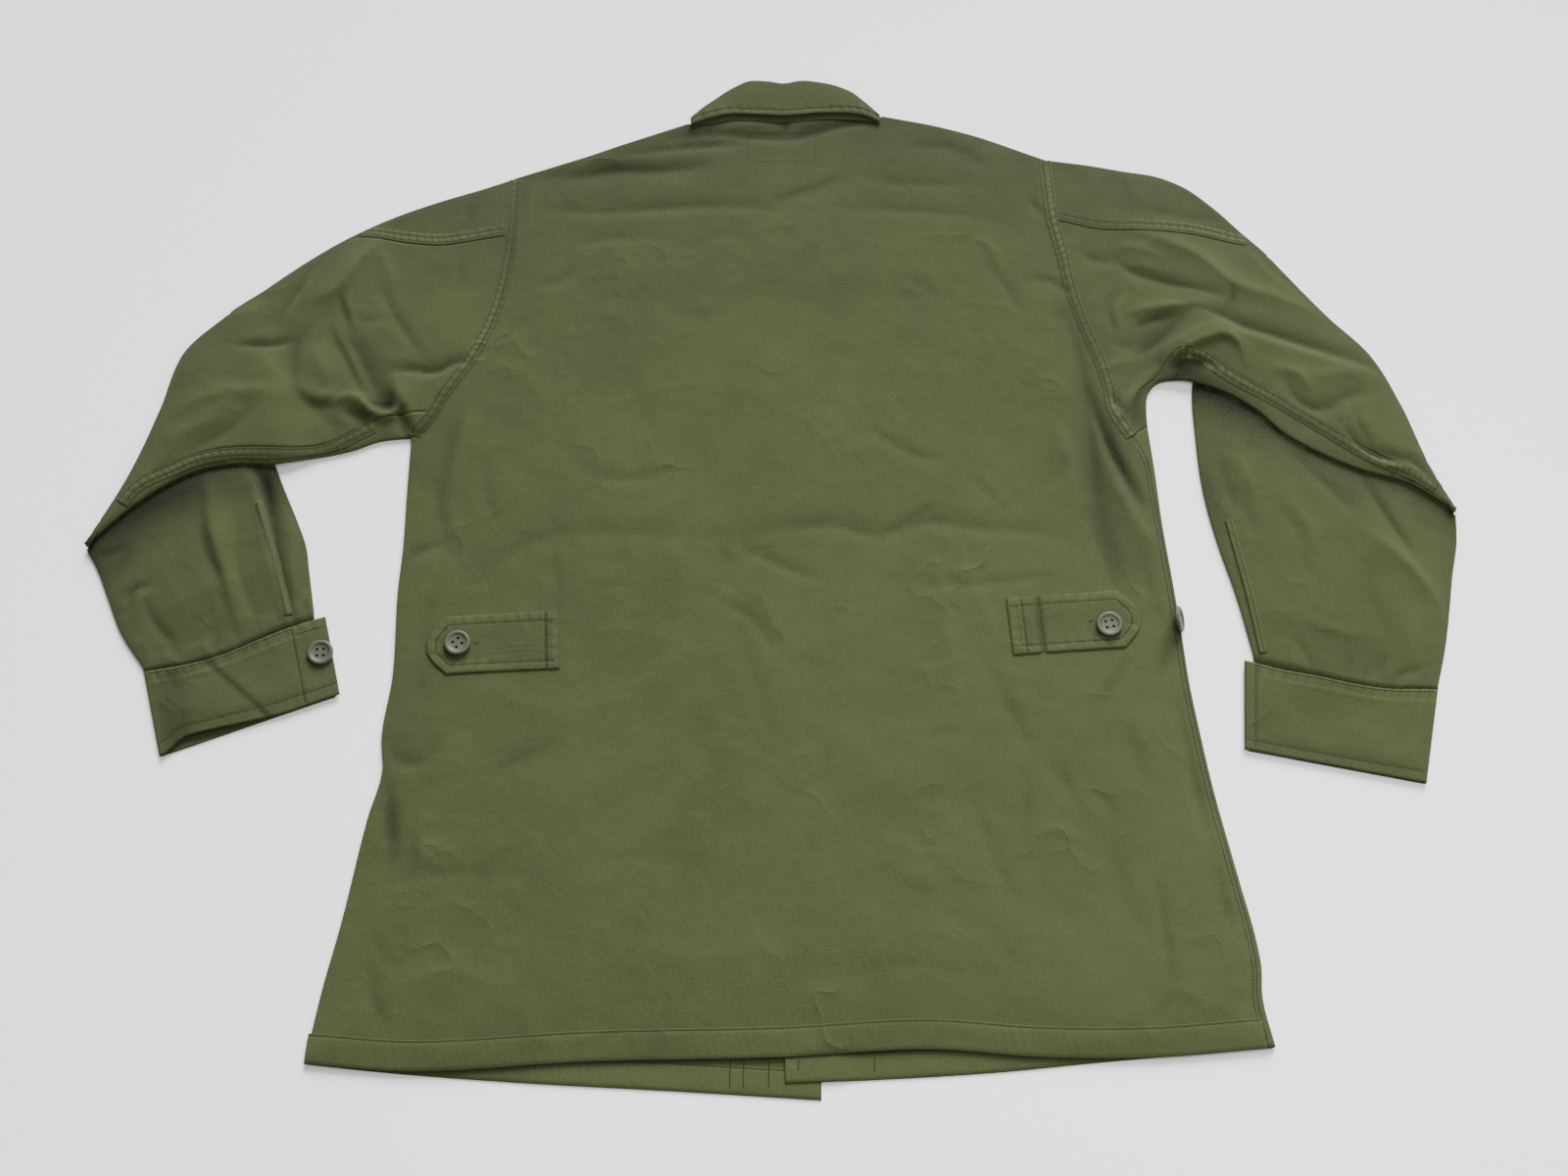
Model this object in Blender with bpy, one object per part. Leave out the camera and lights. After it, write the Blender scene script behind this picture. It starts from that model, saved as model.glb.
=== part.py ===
"""Field jacket lying flat on its front with its back up, sleeves bent at the elbow.

Each cut piece is one closed solid: a cloth wall given its thickness from a mid-surface.
Lengths below are in millimetres. X runs to the wearer's right, Y to the collar, Z up from
the surface it lies on. The origin is at the middle of the overall footprint, at Z = 0.
The torso and each sleeve are flattened tubes, an upper layer over a lower one, which turn
into each other at their folded edges. A piece is the stretch of tube between its seams.
"""

import math

import bmesh
import bpy
import numpy as np

MM = 0.001
ORIGIN_Y = -2.5  # where the tables' y meets the middle of the footprint

# Cloth
WALL = 1.0  # thickness of one cloth layer
GAP = 0.3  # clearance at a seam and between layers that lie on each other
LAYER = WALL + GAP  # rise from one layer to the next
FOLD = LAYER  # radius of the mid-surface where cloth turns at a folded edge
CORNER_EASE = 0.5  # more of it where two walls meet square at a folded edge
INSET = FOLD + WALL / 2  # from a folded edge's silhouette to where its turn begins
TABLE = WALL / 2  # mid-surface height of the lowest layer
EDGE_TOP = TABLE + 2 * FOLD  # mid-surface height of the upper layer at a folded edge
LOFT, LOFT_REACH = 4.5, 32.0  # how far the upper layer stands up inland of its edges
FOREARM_LOFT = 3.5
CREASE_RADIUS = (2 * EDGE_TOP + LAYER - 2 * TABLE) / 2  # outer layer, elbow's fold
TURN_ANGLES = (45.0, 0.0, -45.0)  # points on a folded edge between its two layers
CREASE_ANGLES = (60.0, 30.0, 0.0, -30.0, -60.0)  # rows round the fold at an elbow

# Rows and columns of the torso's upper layer
SIDE_ROWS = 16  # hem to armpit
ARMHOLE_ROWS = 11  # armpit to shoulder
SHOULDER_COLUMNS = 9
NECK_COLUMNS = 9
FRONT_SHOULDER_COLUMNS = 3
FRONT_NECK_COLUMNS = 3
UNDER_COLUMNS = 9  # across a sleeve's lower layer, and rows of a front's armhole
UPPER_ARM_ROWS = 10
FOREARM_ROWS = 8

# Torso outline, x and y, each table from its first named end to its second
LEFT_SIDE = (  # hem, armpit
    (-313, -380), (-304, -325), (-297, -292), (-283, -211), (-275, -172), (-277, -156),
    (-272.5, -105), (-273, -37), (-271.5, -6), (-271.5, 41), (-271, 84),
)
RIGHT_SIDE = (  # hem, armpit
    (338, -369), (332, -334), (333, -315), (331, -297), (323, -257), (308, -180),
    (303.5, -150), (298.5, -113), (294.5, -64), (291.5, -32), (286.5, 18), (284, 57), (281, 92),
)
LEFT_ARMHOLE = (  # armpit, shoulder
    (-271, 84), (-258, 99), (-247, 120), (-235, 139), (-223, 162), (-213, 190),
    (-207, 220), (-204, 250), (-203, 285), (-203, 311),
)
RIGHT_ARMHOLE = (  # side seam, shoulder
    (268, 84), (256, 105), (253, 123), (247, 147), (237, 176), (229, 204), (223, 240),
    (217, 271), (215, 300), (214, 328),
)
LEFT_SHOULDER = ((-203, 311), (-137, 335), (-68, 361))  # armhole, neck
RIGHT_SHOULDER = ((86, 368), (151, 353), (214, 328))  # neck, armhole
NECKLINE = ((-68, 359), (-46, 364), (-32, 367), (8, 368), (31, 370), (63, 368), (86, 366))
BACK_HEM = (
    (-313, -380), (-254, -385), (-123, -379), (8, -376), (110, -371), (179, -376),
    (257, -376), (332, -369),
)
# How far the right side seam lies inside the edge, from the hem up
SIDE_SEAM_Y = (-369, -300, -200, -80, 20, 60)
SIDE_SEAM_INSET = (6.0, 5.0, 4.0, 3.6, 4.0, 6.0)

# Fronts: x of each fly edge, hem and neckline
LEFT_FLY_X, RIGHT_FLY_X = 33.0, 9.0
FRONT_NECK_Y = 296.0
LEFT_FRONT_HEM = ((-313, -380), (-267, -385), (-175, -392), (-57, -398.5), (33, -404))
RIGHT_FRONT_HEM = ((9, -393), (70, -390.5), (152, -385.5), (215, -379.5), (338, -369))
LEFT_FRONT_NECK = ((-68, 359), (-57, 328), (-22, 303), (33, 296))
RIGHT_FRONT_NECK = ((9, 296), (42, 303), (76, 330), (86, 366))
FLY_MARGIN, FLY_STEP = 7.0, 22.0  # the upper front comes down past the lower one's edge

# Collar: at each x, the y of its upper fold and of the free edge of its fall
COLLAR_SECTIONS = (  # x, fold, edge
    (-66, 364, 357), (-56, 374, 361), (-46, 382, 364), (-32, 392.5, 366.5), (-20, 398.5, 366),
    (-6, 398.5, 365), (8, 396.5, 364.5), (22, 399, 365.5), (36, 397.5, 367), (50, 394, 367.5),
    (62, 388, 367), (72, 379, 365), (84, 366.5, 359),
)
# Free edges of the collar's front leaves, which lie under the fronts
LEFT_LEAF = ((-98, 316), (-86, 282), (-50, 250), (20, 238))
RIGHT_LEAF = ((22, 238), (66, 250), (98, 284), (110, 322))
LEAF_RISE_Y = (195.0, 225.0)  # the fronts rise over the leaves between these
LEAF_RISE_X = (115.0, 150.0)

# Sleeves, x and y: outline of each, and where its seams lie
LEFT_SLEEVE = {
    "outer": (  # shoulder, upper end of the elbow's fold
        (-203, 311), (-229, 301), (-258, 291), (-295, 276), (-329, 258), (-381, 220),
        (-417, 188),
    ),
    "lower": (  # armpit, elbow
        (-271, 84), (-295, 81), (-313, 74), (-342, 67), (-371, 61), (-400, 61),
        (-428, 55), (-449, 44), (-469, 29), (-504, -6),
    ),
    "crease": (  # upper end of the fold, elbow
        (-417, 188), (-447, 156), (-461, 106), (-479, 49), (-504, -6),
    ),
    "inner": (  # upper end of the fold, under the upper arm, to the cuff
        (-417, 188), (-392, 118), (-371, 62), (-362, 41), (-351, 17), (-342, -6),
        (-339, -22), (-332, -59),
    ),
    "forearm": ((-504, -6), (-494, -22), (-483, -46), (-471, -72), (-451, -100)),
    "wrist": (  # inner, outer end of the cuff's seam
        (-332, -62), (-348, -68), (-373, -79), (-393, -88), (-414, -95), (-451, -102),
    ),
    "elbow": (-500.2, -2.5),  # where the cloth begins to turn at the elbow's point
    "seam_at_armhole": 0.2,  # share of the armhole above the rear seam
    "seam_rows": 5,  # rows that the rear seam takes to reach the outer edge
}
RIGHT_SLEEVE = {
    "outer": (
        (214, 328), (248, 323), (273, 318), (306, 311), (325, 301), (342, 286),
        (383, 238),
    ),
    "lower": (
        (281, 92), (281, 108), (283, 121), (290, 129), (304, 131), (333, 124),
        (362, 106), (382, 86), (405, 71), (437, 56), (469, 46), (504, 22),
    ),
    "crease": ((383, 238), (424, 185), (453, 152), (472, 110), (489, 56), (504, 22)),
    "inner": (
        (383, 238), (342, 192), (317, 129), (316, 84), (319, 36), (325, 3), (336.5, -43),
        (346, -92),
    ),
    "forearm": ((504, 22), (502, -1), (496, -27), (491, -53), (484.5, -83), (475.5, -114)),
    "wrist": ((346, -95), (359, -99), (387, -105), (414, -111), (442, -115), (475.5, -115)),
    "elbow": (500.2, 25.5),
    "seam_at_armhole": 0.22,
    "seam_rows": 8,
}
ARMHOLE_FADE = 6.0  # how soon the sections lose the armhole's shape
WEDGE = 2  # columns between the outer edge and the rear seam
SLEEVE_SHRINK = GAP / 2 + 0.2  # a little more, as these seams lie on turned edges
SEAM_END = 0.025  # share of the width left between them where the seam meets the edge
CROOK_MARGIN, CROOK_RAMP = 4.0, 34.0  # the upper arm comes down past the forearm

# Cuffs: x and y of three corners, and how the closing end stands out over the fold
LEFT_CUFF = {"inner": (-324, -59.5), "hem_inner": (-309, -119), "hem_outer": (-433, -165)}
RIGHT_CUFF = {"inner": (338.5, -93), "hem_inner": (333.5, -160), "hem_outer": (459.5, -185)}
OVERHANG = 3.5
UNDERLAP = 0.28  # share of the cuff's width that lies under its closing end
CUFF_ROWS, CUFF_COLUMNS = 3, 6

# What is sewn on. A tab lies from its root in the direction of its turn, in degrees.
TAB_LENGTH, TAB_WIDTH, TAB_WALL = 95.0, 44.0, 2.0
TAB_TIP = ((0, 4), (5, 13), (14, 22))  # distance from the tip, half-width there
TAB_ROWS, TAB_COLUMNS = 9, 4
LEFT_TAB = {"root": (-153.5, -79.5), "turn": 183.0}
RIGHT_TAB = {"root": (170.5, -69.5), "turn": 4.5}
LIE_GAP = 0.45  # clearance under a flat piece that lies on a gently domed panel
PLACKET_WIDTH = 9.0
LEFT_PLACKET = ((-381, 28), (-365, -17), (-352, -60))
RIGHT_PLACKET = ((337, 16), (350, -58), (354, -88))
BUTTON_RADIUS, BUTTON_HEIGHT, BUTTON_SIDES = 9.5, 3.0, 20
HOLE_RADIUS, HOLE_OFFSET, HOLE_SIDES = 1.0, 2.3, 6
LEFT_TAB_BUTTON, RIGHT_TAB_BUTTON, CUFF_BUTTON = (-226, -83), (242, -68.5), (-325, -88)
SIDE_BUTTON_Y, SIDE_BUTTON_LEAN = -64.0, 24.0  # its face looks this far above sideways

# Largest folds of the upper layer: x, y of both ends, half-width, height
FOLDS = (
    (-165, 5, 152, 3, 14, 1.6),
    (238, 130, 248, 70, 15, 3.0),
    (248, 70, 236, 17, 14, 3.4),
    (236, 17, 250, -38, 13, 2.2),
    (266, -7, 286, -110, 12, 2.0),
    (296, -143, 304, -228, 12, 2.0),
    (268, -256, 273, -331, 12, 1.6),
    (-297, -284, -275, -318, 12, 1.6),
    (-176, 289, 170, 303, 13, 1.5),
    (-146, 318, 194, 325, 12, 1.3),
    (-289, 138, -275, 88, 10, 4.0),
    (-289, 140, -252, 140, 10, 3.0),
    (-372, 249, -335, 215, 13, 2.5),
    (-335, 215, -292, 189, 12, 2.0),
    (-366, 180, -320, 170, 12, 2.0),
    (-450, 110, -400, 100, 14, 2.0),
    (272, 206, 378, 130, 14, 3.2),
    (378, 130, 490, 62, 14, 2.6),
    (296, 241, 405, 180, 15, 2.4),
    (405, 180, 470, 95, 14, 2.0),
    (269, 168, 318, 164, 11, 3.0),
)
FOREARM_FOLDS = (
    (-422, 55, -419, 23, 11, 1.8),
    (-419, 23, -385, -68, 12, 1.8),
    (376, 80, 363, 41, 14, 2.2),
    (363, 41, 384, -53, 14, 2.2),
    (443, 41, 421, -38, 15, 2.0),
    (421, -38, 429, -98, 13, 1.6),
)

# Colour as red, green and blue, then roughness
CLOTH = ((0.105, 0.125, 0.052), 0.92)
CLOTH_UNDER = ((0.092, 0.110, 0.046), 0.94)
BUTTON = ((0.150, 0.150, 0.100), 0.55)


def clear_scene():
    for obj in list(bpy.data.objects):
        bpy.data.objects.remove(obj, do_unlink=True)


def material(name, finish):
    colour, roughness = finish
    made = bpy.data.materials.new(name)
    made.use_nodes = True
    shader = made.node_tree.nodes["Principled BSDF"]
    shader.inputs["Base Color"].default_value = (*colour, 1.0)
    shader.inputs["Roughness"].default_value = roughness
    shader.inputs["Metallic"].default_value = 0.0
    made.diffuse_color = (*colour, 1.0)
    return made


# ---- curves and patches -------------------------------------------------------------


def points_run(path):
    """The length along a path at each of its points."""
    return np.r_[0, np.cumsum(np.linalg.norm(np.diff(path, axis=0), axis=1))]


def points_at(path, stations):
    """The points of a path at the given lengths along it."""
    run = points_run(path)
    return np.stack([np.interp(stations, run, axis) for axis in path.T], axis=1)


def length(path):
    return points_run(path)[-1]


def smooth(points):
    """A close chain of points on a smooth curve through the given ones."""
    knots = np.array(points, float)
    at = points_run(knots)
    slope = np.gradient(knots, at, axis=0)
    fine = np.linspace(0, at[-1], 40 * len(knots))
    k = np.clip(np.searchsorted(at, fine, side="right") - 1, 0, len(at) - 2)
    span = (at[k + 1] - at[k])[:, None]
    t = (fine - at[k])[:, None] / span
    return (
        (2 * t**3 - 3 * t**2 + 1) * knots[k]
        + (t**3 - 2 * t**2 + t) * span * slope[k]
        + (3 * t**2 - 2 * t**3) * knots[k + 1]
        + (t**3 - t**2) * span * slope[k + 1]
    )


def curve(points, count, start=0.0, end=0.0):
    """count + 1 points at even lengths along a smooth curve through the given ones,
    leaving out the given lengths at its two ends."""
    path = smooth(points)
    return points_at(path, np.linspace(start, length(path) - end, count + 1))


def at_x(points, stations):
    """The points of a smooth curve where it passes the given values of x."""
    path = smooth(points)
    return np.stack([stations, np.interp(stations, path[:, 0], path[:, 1])], axis=1)


def unit(vectors):
    return vectors / np.linalg.norm(vectors, axis=-1, keepdims=True)


def normals(path, left):
    """Horizontal unit normals of a path, on its left or its right."""
    along = unit(np.gradient(path, axis=0))
    sign = 1.0 if left else -1.0
    return np.stack([-along[:, 1], along[:, 0]], axis=1) * sign


def inset_edge(path, count, left, distance=INSET):
    """Where the cloth of a folded edge begins to turn, and the way out of the cloth."""
    edge = curve(path, 120)
    out = normals(edge, left)
    stations = np.linspace(0, 120, count + 1)
    inner, out = (
        np.stack([np.interp(stations, np.arange(121), axis) for axis in values.T], axis=1)
        for values in (edge - out * distance, out)
    )
    return inner, unit(out)


def patch(start, end, first, last):
    """Coons patch: rows run from the curve start to the curve end, and its outer
    columns are the curves first and last."""
    v = np.linspace(0, 1, len(first))[:, None, None]
    u = np.linspace(0, 1, len(start))[None, :, None]
    corners = (
        (1 - u) * (1 - v) * start[0] + u * (1 - v) * start[-1]
        + (1 - u) * v * end[0] + u * v * end[-1]
    )
    rows = (1 - v) * start[None] + v * end[None]
    columns = (1 - u) * first[:, None] + u * last[:, None]
    return rows + columns - corners


def sweep(start, end, first, last, fade=1.0):
    """Rows between the curves first and last. Each is the straight line between its two
    ends, bent by what start and end differ from their own. A fade above 1 makes the
    shape of start die away sooner."""
    v = np.linspace(0, 1, len(first))[:, None, None]
    u = np.linspace(0, 1, len(start))[None, :, None]
    bends = [path - ((1 - u[0]) * path[0] + u[0] * path[-1]) for path in (start, end)]
    straight = (1 - u) * first[:, None] + u * last[:, None]
    return straight + (1 - v) ** fade * bends[0] + v * bends[1]


def soft(x):
    """0 below 0, 1 above 1, and an S curve between."""
    x = np.clip(x, 0, 1)
    return x * x * (3 - 2 * x)


def depth(outline, x, y):
    """Distance to a closed outline, positive inside it and negative outside."""
    ax, ay = outline.T
    bx, by = np.roll(outline, -1, axis=0).T
    px, py = np.asarray(x, float)[..., None], np.asarray(y, float)[..., None]
    dx, dy = bx - ax, by - ay
    length = np.maximum(dx**2 + dy**2, 1e-9)
    t = np.clip(((px - ax) * dx + (py - ay) * dy) / length, 0, 1)
    distance = np.hypot(px - ax - t * dx, py - ay - t * dy).min(axis=-1)
    straddles = (ay > py) != (by > py)
    crossing = ax + (py - ay) * dx / np.where(dy == 0, 1e-9, dy)
    inside = (straddles & (px < crossing)).sum(axis=-1) % 2 == 1
    return np.where(inside, distance, -distance)


def ridges(folds, x, y):
    """Sum of rounded ridges, each along the straight line between its two ends."""
    height = np.zeros_like(x)
    for x0, y0, x1, y1, half_width, rise in folds:
        dx, dy = x1 - x0, y1 - y0
        t = np.clip(((x - x0) * dx + (y - y0) * dy) / (dx**2 + dy**2), 0, 1)
        distance = np.hypot(x - x0 - t * dx, y - y0 - t * dy)
        height += rise * np.exp(-((distance / half_width) ** 2))
    return height


def joined(*paths):
    """One outline from paths that follow on from each other."""
    return np.concatenate([curve(path, 60)[:-1] for path in paths])


def upper_arm_outline(sleeve):
    return joined(sleeve["outer"], sleeve["crease"], sleeve["lower"][::-1])


def forearm_outline(sleeve):
    return joined(sleeve["crease"], sleeve["forearm"], sleeve["wrist"][::-1],
                  sleeve["inner"][::-1])


BODY_OUTLINE = joined(
    LEFT_SIDE, LEFT_SLEEVE["lower"], LEFT_SLEEVE["crease"][::-1],
    LEFT_SLEEVE["outer"][::-1], LEFT_SHOULDER, NECKLINE, RIGHT_SHOULDER,
    RIGHT_SLEEVE["outer"], RIGHT_SLEEVE["crease"], RIGHT_SLEEVE["lower"][::-1],
    RIGHT_SIDE[::-1], BACK_HEM[::-1],
)


# ---- heights ------------------------------------------------------------------------


def leaf_rise(x, y):
    """How far the cloth is lifted by the collar's leaves, which lie under the fronts."""
    low, high = LEAF_RISE_Y
    near, far = LEAF_RISE_X
    across = 1 - soft((np.abs(x) - near) / (far - near))
    return LAYER * soft((y - low) / (high - low)) * across


def body_top(x, y):
    """Mid-surface height of the upper layer of torso and upper arms."""
    inland = np.maximum(depth(BODY_OUTLINE, x, y) - INSET, 0)
    stand = LOFT * (1 - np.exp(-inland / LOFT_REACH))
    folds = ridges(FOLDS, x, y) * (1 - np.exp(-inland / 14.0))
    return EDGE_TOP + leaf_rise(x, y) + stand + folds


def arm_lift(sleeve, x, y):
    """How far the upper arm is raised where the forearm lies under it."""
    outside = -depth(forearm_outline(sleeve), x, y)
    return (EDGE_TOP + LAYER - TABLE) * (1 - soft((outside - CROOK_MARGIN) / CROOK_RAMP))


def forearm_top(sleeve, x, y):
    """Mid-surface height of the forearm's upper layer, flat under the upper arm."""
    inland = np.maximum(depth(forearm_outline(sleeve), x, y) - INSET, 0)
    clear = soft(-depth(upper_arm_outline(sleeve), x, y) / 40.0)
    rise = FOREARM_LOFT * (1 - np.exp(-inland / 22.0)) + (
        ridges(FOREARM_FOLDS, x, y) * (1 - np.exp(-inland / 14.0))
    )
    return EDGE_TOP + clear * rise


def split(flat):
    return np.moveaxis(flat, -1, 0)


def at_height(flat, z):
    return np.concatenate([flat, np.broadcast_to(z, flat.shape[:-1])[..., None]], axis=-1)


def turn(upper, lower, outward):
    """Rows of points round a folded edge, from the upper layer's edge to the lower's."""
    middle, half = (upper + lower) / 2, (upper - lower) / 2
    out = np.concatenate([outward, np.zeros((*outward.shape[:-1], 1))], axis=-1)
    angles = np.radians(TURN_ANGLES)
    return [middle + half * math.sin(a) + out * FOLD * math.cos(a) for a in angles]


def height_on(grid, x, y):
    """Height of a surface of four-sided cells at x, y, with each cell split both ways
    and the higher taken."""
    best = np.full(x.shape, -np.inf)
    a, b, c, d = (k.reshape(-1, 1, 3) for k in (
        grid[:-1, :-1], grid[:-1, 1:], grid[1:, 1:], grid[1:, :-1]))
    for p, q, r in ((a, b, c), (a, c, d), (a, b, d), (b, c, d)):
        (qx, qy, qz), (rx, ry, rz) = split(q - p), split(r - p)
        dx, dy = x.ravel() - p[..., 0], y.ravel() - p[..., 1]
        area = qx * ry - qy * rx
        s, t = (dx * ry - dy * rx) / area, (qx * dy - qy * dx) / area
        z = np.where((s > -1e-6) & (t > -1e-6) & (s + t < 1 + 1e-6),
                     p[..., 2] + s * qz + t * rz, -np.inf)
        best = np.maximum(best, z.max(axis=0).reshape(x.shape))
    return best


def laid(flat, panel, wall, gap=LIE_GAP):
    """Mid-surface points of a piece that lies on a panel: over each of its points it
    clears the highest of the panel's near by."""
    around = [(0, 0), (5, 0), (-5, 0), (0, 5), (0, -5)]
    x, y = split(flat)
    z = np.max([height_on(panel, x + dx, y + dy) for dx, dy in around], axis=0)
    return at_height(flat, z + WALL / 2 + gap + wall / 2)


# ---- meshes -------------------------------------------------------------------------


def quads(grid_index):
    """Faces of a grid of point numbers."""
    a, b = grid_index[:-1, :-1], grid_index[:-1, 1:]
    c, d = grid_index[1:, 1:], grid_index[1:, :-1]
    return np.stack([a, b, c, d], axis=-1).reshape(-1, 4)


def shrink_edges(bm, amount, corner):
    """Draws each open edge back along the cloth, so that neighbours stay apart."""
    moves = {}
    for vert in bm.verts:
        inward = []
        for edge in vert.link_edges:
            if not edge.is_boundary:
                continue
            face = edge.link_faces[0]
            middle = (edge.verts[0].co + edge.verts[1].co) / 2
            run = (edge.verts[1].co - edge.verts[0].co).normalized()
            step = face.calc_center_median() - middle
            step -= run * step.dot(run)
            inward.append(step.normalized())
        if len(inward) == 2:
            total = inward[0] + inward[1]
            near = math.dist(vert.co[:2], corner) < 3.0
            by = amount + near * CORNER_EASE
            moves[vert] = total * (by / (1 + inward[0].dot(inward[1])))
    for vert, move in moves.items():
        vert.co += move
        vert.co.z = max(vert.co.z, TABLE)


def cloth(name, grids, finish, wall=WALL, shrink=GAP / 2, corner=(0, 0)):
    """One piece of cloth: grids of points that share edges, joined into one surface,
    drawn back from its seams and given its wall."""
    bm = bmesh.new()
    for points in grids:
        rows, columns = points.shape[:2]
        verts = [bm.verts.new(p) for p in points.reshape(-1, 3)]
        index = np.arange(rows * columns).reshape(rows, columns)
        for face in quads(index):
            bm.faces.new([verts[k] for k in face])
    bmesh.ops.remove_doubles(bm, verts=bm.verts, dist=1e-4)
    bmesh.ops.recalc_face_normals(bm, faces=bm.faces)
    shrink_edges(bm, shrink, corner)
    bmesh.ops.translate(bm, vec=(0, -ORIGIN_Y, 0), verts=bm.verts)
    bmesh.ops.scale(bm, vec=(MM, MM, MM), verts=bm.verts)
    mesh = bpy.data.meshes.new(name)
    bm.to_mesh(mesh)
    bm.free()
    mesh.shade_smooth()
    mesh.materials.append(material(name, finish))
    obj = bpy.data.objects.new(name, mesh)
    bpy.context.collection.objects.link(obj)
    solid = obj.modifiers.new("wall", "SOLIDIFY")
    solid.thickness = wall * MM
    solid.offset = 0.0
    return obj


# ---- torso --------------------------------------------------------------------------


def torso():
    """Points of the torso's layers and folded edges, by name."""
    made = {}
    rows = SIDE_ROWS + ARMHOLE_ROWS
    corner_left, corner_right = unit(np.array([-0.7, -0.7])), unit(np.array([1.0, -0.2]))

    left_edge, left_out = inset_edge(LEFT_SIDE, SIDE_ROWS, left=True)
    right_edge, right_out = inset_edge(RIGHT_SIDE, SIDE_ROWS, left=False)
    left_out[-1], right_out[-1] = corner_left, corner_right
    left_edge[-1] = LEFT_SIDE[-1] - corner_left * INSET
    right_edge[-1] = RIGHT_SIDE[-1] - corner_right * INSET
    strip = np.interp(right_edge[:, 1], SIDE_SEAM_Y, SIDE_SEAM_INSET)[:, None]
    side_seam = right_edge - right_out * (strip - INSET)
    side_seam[-1] = RIGHT_ARMHOLE[0]

    left_top, left_up = inset_edge(LEFT_SHOULDER, SHOULDER_COLUMNS, left=True)
    right_top, right_up = inset_edge(RIGHT_SHOULDER, SHOULDER_COLUMNS, left=True)
    neck = curve((left_top[-1], *NECKLINE[1:-1], right_top[0]), NECK_COLUMNS)

    left_armhole = curve((left_edge[-1], *LEFT_ARMHOLE[1:-1], left_top[0]), ARMHOLE_ROWS)
    right_armhole = curve((*RIGHT_ARMHOLE[:-1], right_top[-1]), ARMHOLE_ROWS)
    hem = curve((left_edge[0], *BACK_HEM[1:-1], side_seam[0]),
                2 * SHOULDER_COLUMNS + NECK_COLUMNS)
    upper = patch(
        start=hem,
        end=np.concatenate([left_top, neck[1:-1], right_top]),
        first=np.concatenate([left_edge, left_armhole[1:]]),
        last=np.concatenate([side_seam, right_armhole[1:]]),
    )
    made["upper"] = at_height(upper, body_top(upper[..., 0], upper[..., 1]))
    assert len(upper) == rows + 1
    made["strip"] = at_height(
        np.stack([side_seam, right_edge], axis=1), EDGE_TOP)
    made["strip"][:, 0, 2] = made["upper"][:SIDE_ROWS + 1, -1, 2]

    left_under = curve((left_edge[-1], *LEFT_ARMHOLE[1:-1], left_top[0]), UNDER_COLUMNS)
    right_under = curve((right_edge[-1], *RIGHT_ARMHOLE[1:-1], right_top[-1]),
                        UNDER_COLUMNS)
    front_rows = SIDE_ROWS + UNDER_COLUMNS
    left_seam, _ = inset_edge(LEFT_SHOULDER, FRONT_SHOULDER_COLUMNS, left=True)
    right_seam, _ = inset_edge(RIGHT_SHOULDER, FRONT_SHOULDER_COLUMNS, left=True)
    left_neck = curve((left_top[-1], *LEFT_FRONT_NECK[1:]), FRONT_NECK_COLUMNS)
    fly_end = LEFT_FLY_X + FLY_MARGIN
    neck_x = np.array([RIGHT_FLY_X, fly_end, fly_end + FLY_STEP, right_top[0, 0]])
    hem_x = np.r_[neck_x[:3], np.linspace(neck_x[2], right_edge[0, 0],
                                          FRONT_SHOULDER_COLUMNS + 2)[1:]]
    right_neck = at_x((*RIGHT_FRONT_NECK[:-1], right_top[0]), neck_x)
    columns = FRONT_SHOULDER_COLUMNS + FRONT_NECK_COLUMNS
    left_front = patch(
        start=curve((left_edge[0], *LEFT_FRONT_HEM[1:]), columns),
        end=np.concatenate([left_seam, left_neck[1:]]),
        first=np.concatenate([left_edge, left_under[1:]]),
        last=curve((LEFT_FRONT_HEM[-1], LEFT_FRONT_NECK[-1]), front_rows),
    )
    right_front = patch(
        start=at_x((*RIGHT_FRONT_HEM[:-1], right_edge[0]), hem_x),
        end=np.concatenate([right_neck[:-1], right_seam]),
        first=curve((RIGHT_FRONT_HEM[0], RIGHT_FRONT_NECK[0]), front_rows),
        last=np.concatenate([right_edge, right_under[1:]]),
    )
    made["left_front"] = at_height(
        left_front, TABLE + leaf_rise(left_front[..., 0], left_front[..., 1]))
    over = 1 - soft((right_front[..., 0] - fly_end) / FLY_STEP)
    made["right_front"] = at_height(
        right_front,
        TABLE + leaf_rise(right_front[..., 0], right_front[..., 1]) + LAYER * over)

    side = slice(0, SIDE_ROWS + 1)
    made["left_edge"] = np.stack(
        [made["upper"][side, 0],
         *turn(made["upper"][side, 0], made["left_front"][side, 0], left_out),
         made["left_front"][side, 0]], axis=1)
    made["right_edge"] = np.stack(
        [made["strip"][:, 1],
         *turn(made["strip"][:, 1], made["right_front"][side, -1], right_out),
         made["right_front"][side, -1]], axis=1)
    for name, top, up, columns in (
        ("left_shoulder", made["upper"][-1, :SHOULDER_COLUMNS + 1], left_up, 0),
        ("right_shoulder", made["upper"][-1, -SHOULDER_COLUMNS - 1:], right_up, -1),
    ):
        below = top.copy()
        below[:, 2] = TABLE + leaf_rise(top[:, 0], top[:, 1])
        made[name] = np.stack([top, *turn(top, below, up), below])
    made["left_corner"], made["right_corner"] = corner_left, corner_right
    made["left_up"], made["right_up"] = left_up[0], right_up[-1]
    return made


# ---- sleeves ------------------------------------------------------------------------


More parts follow.
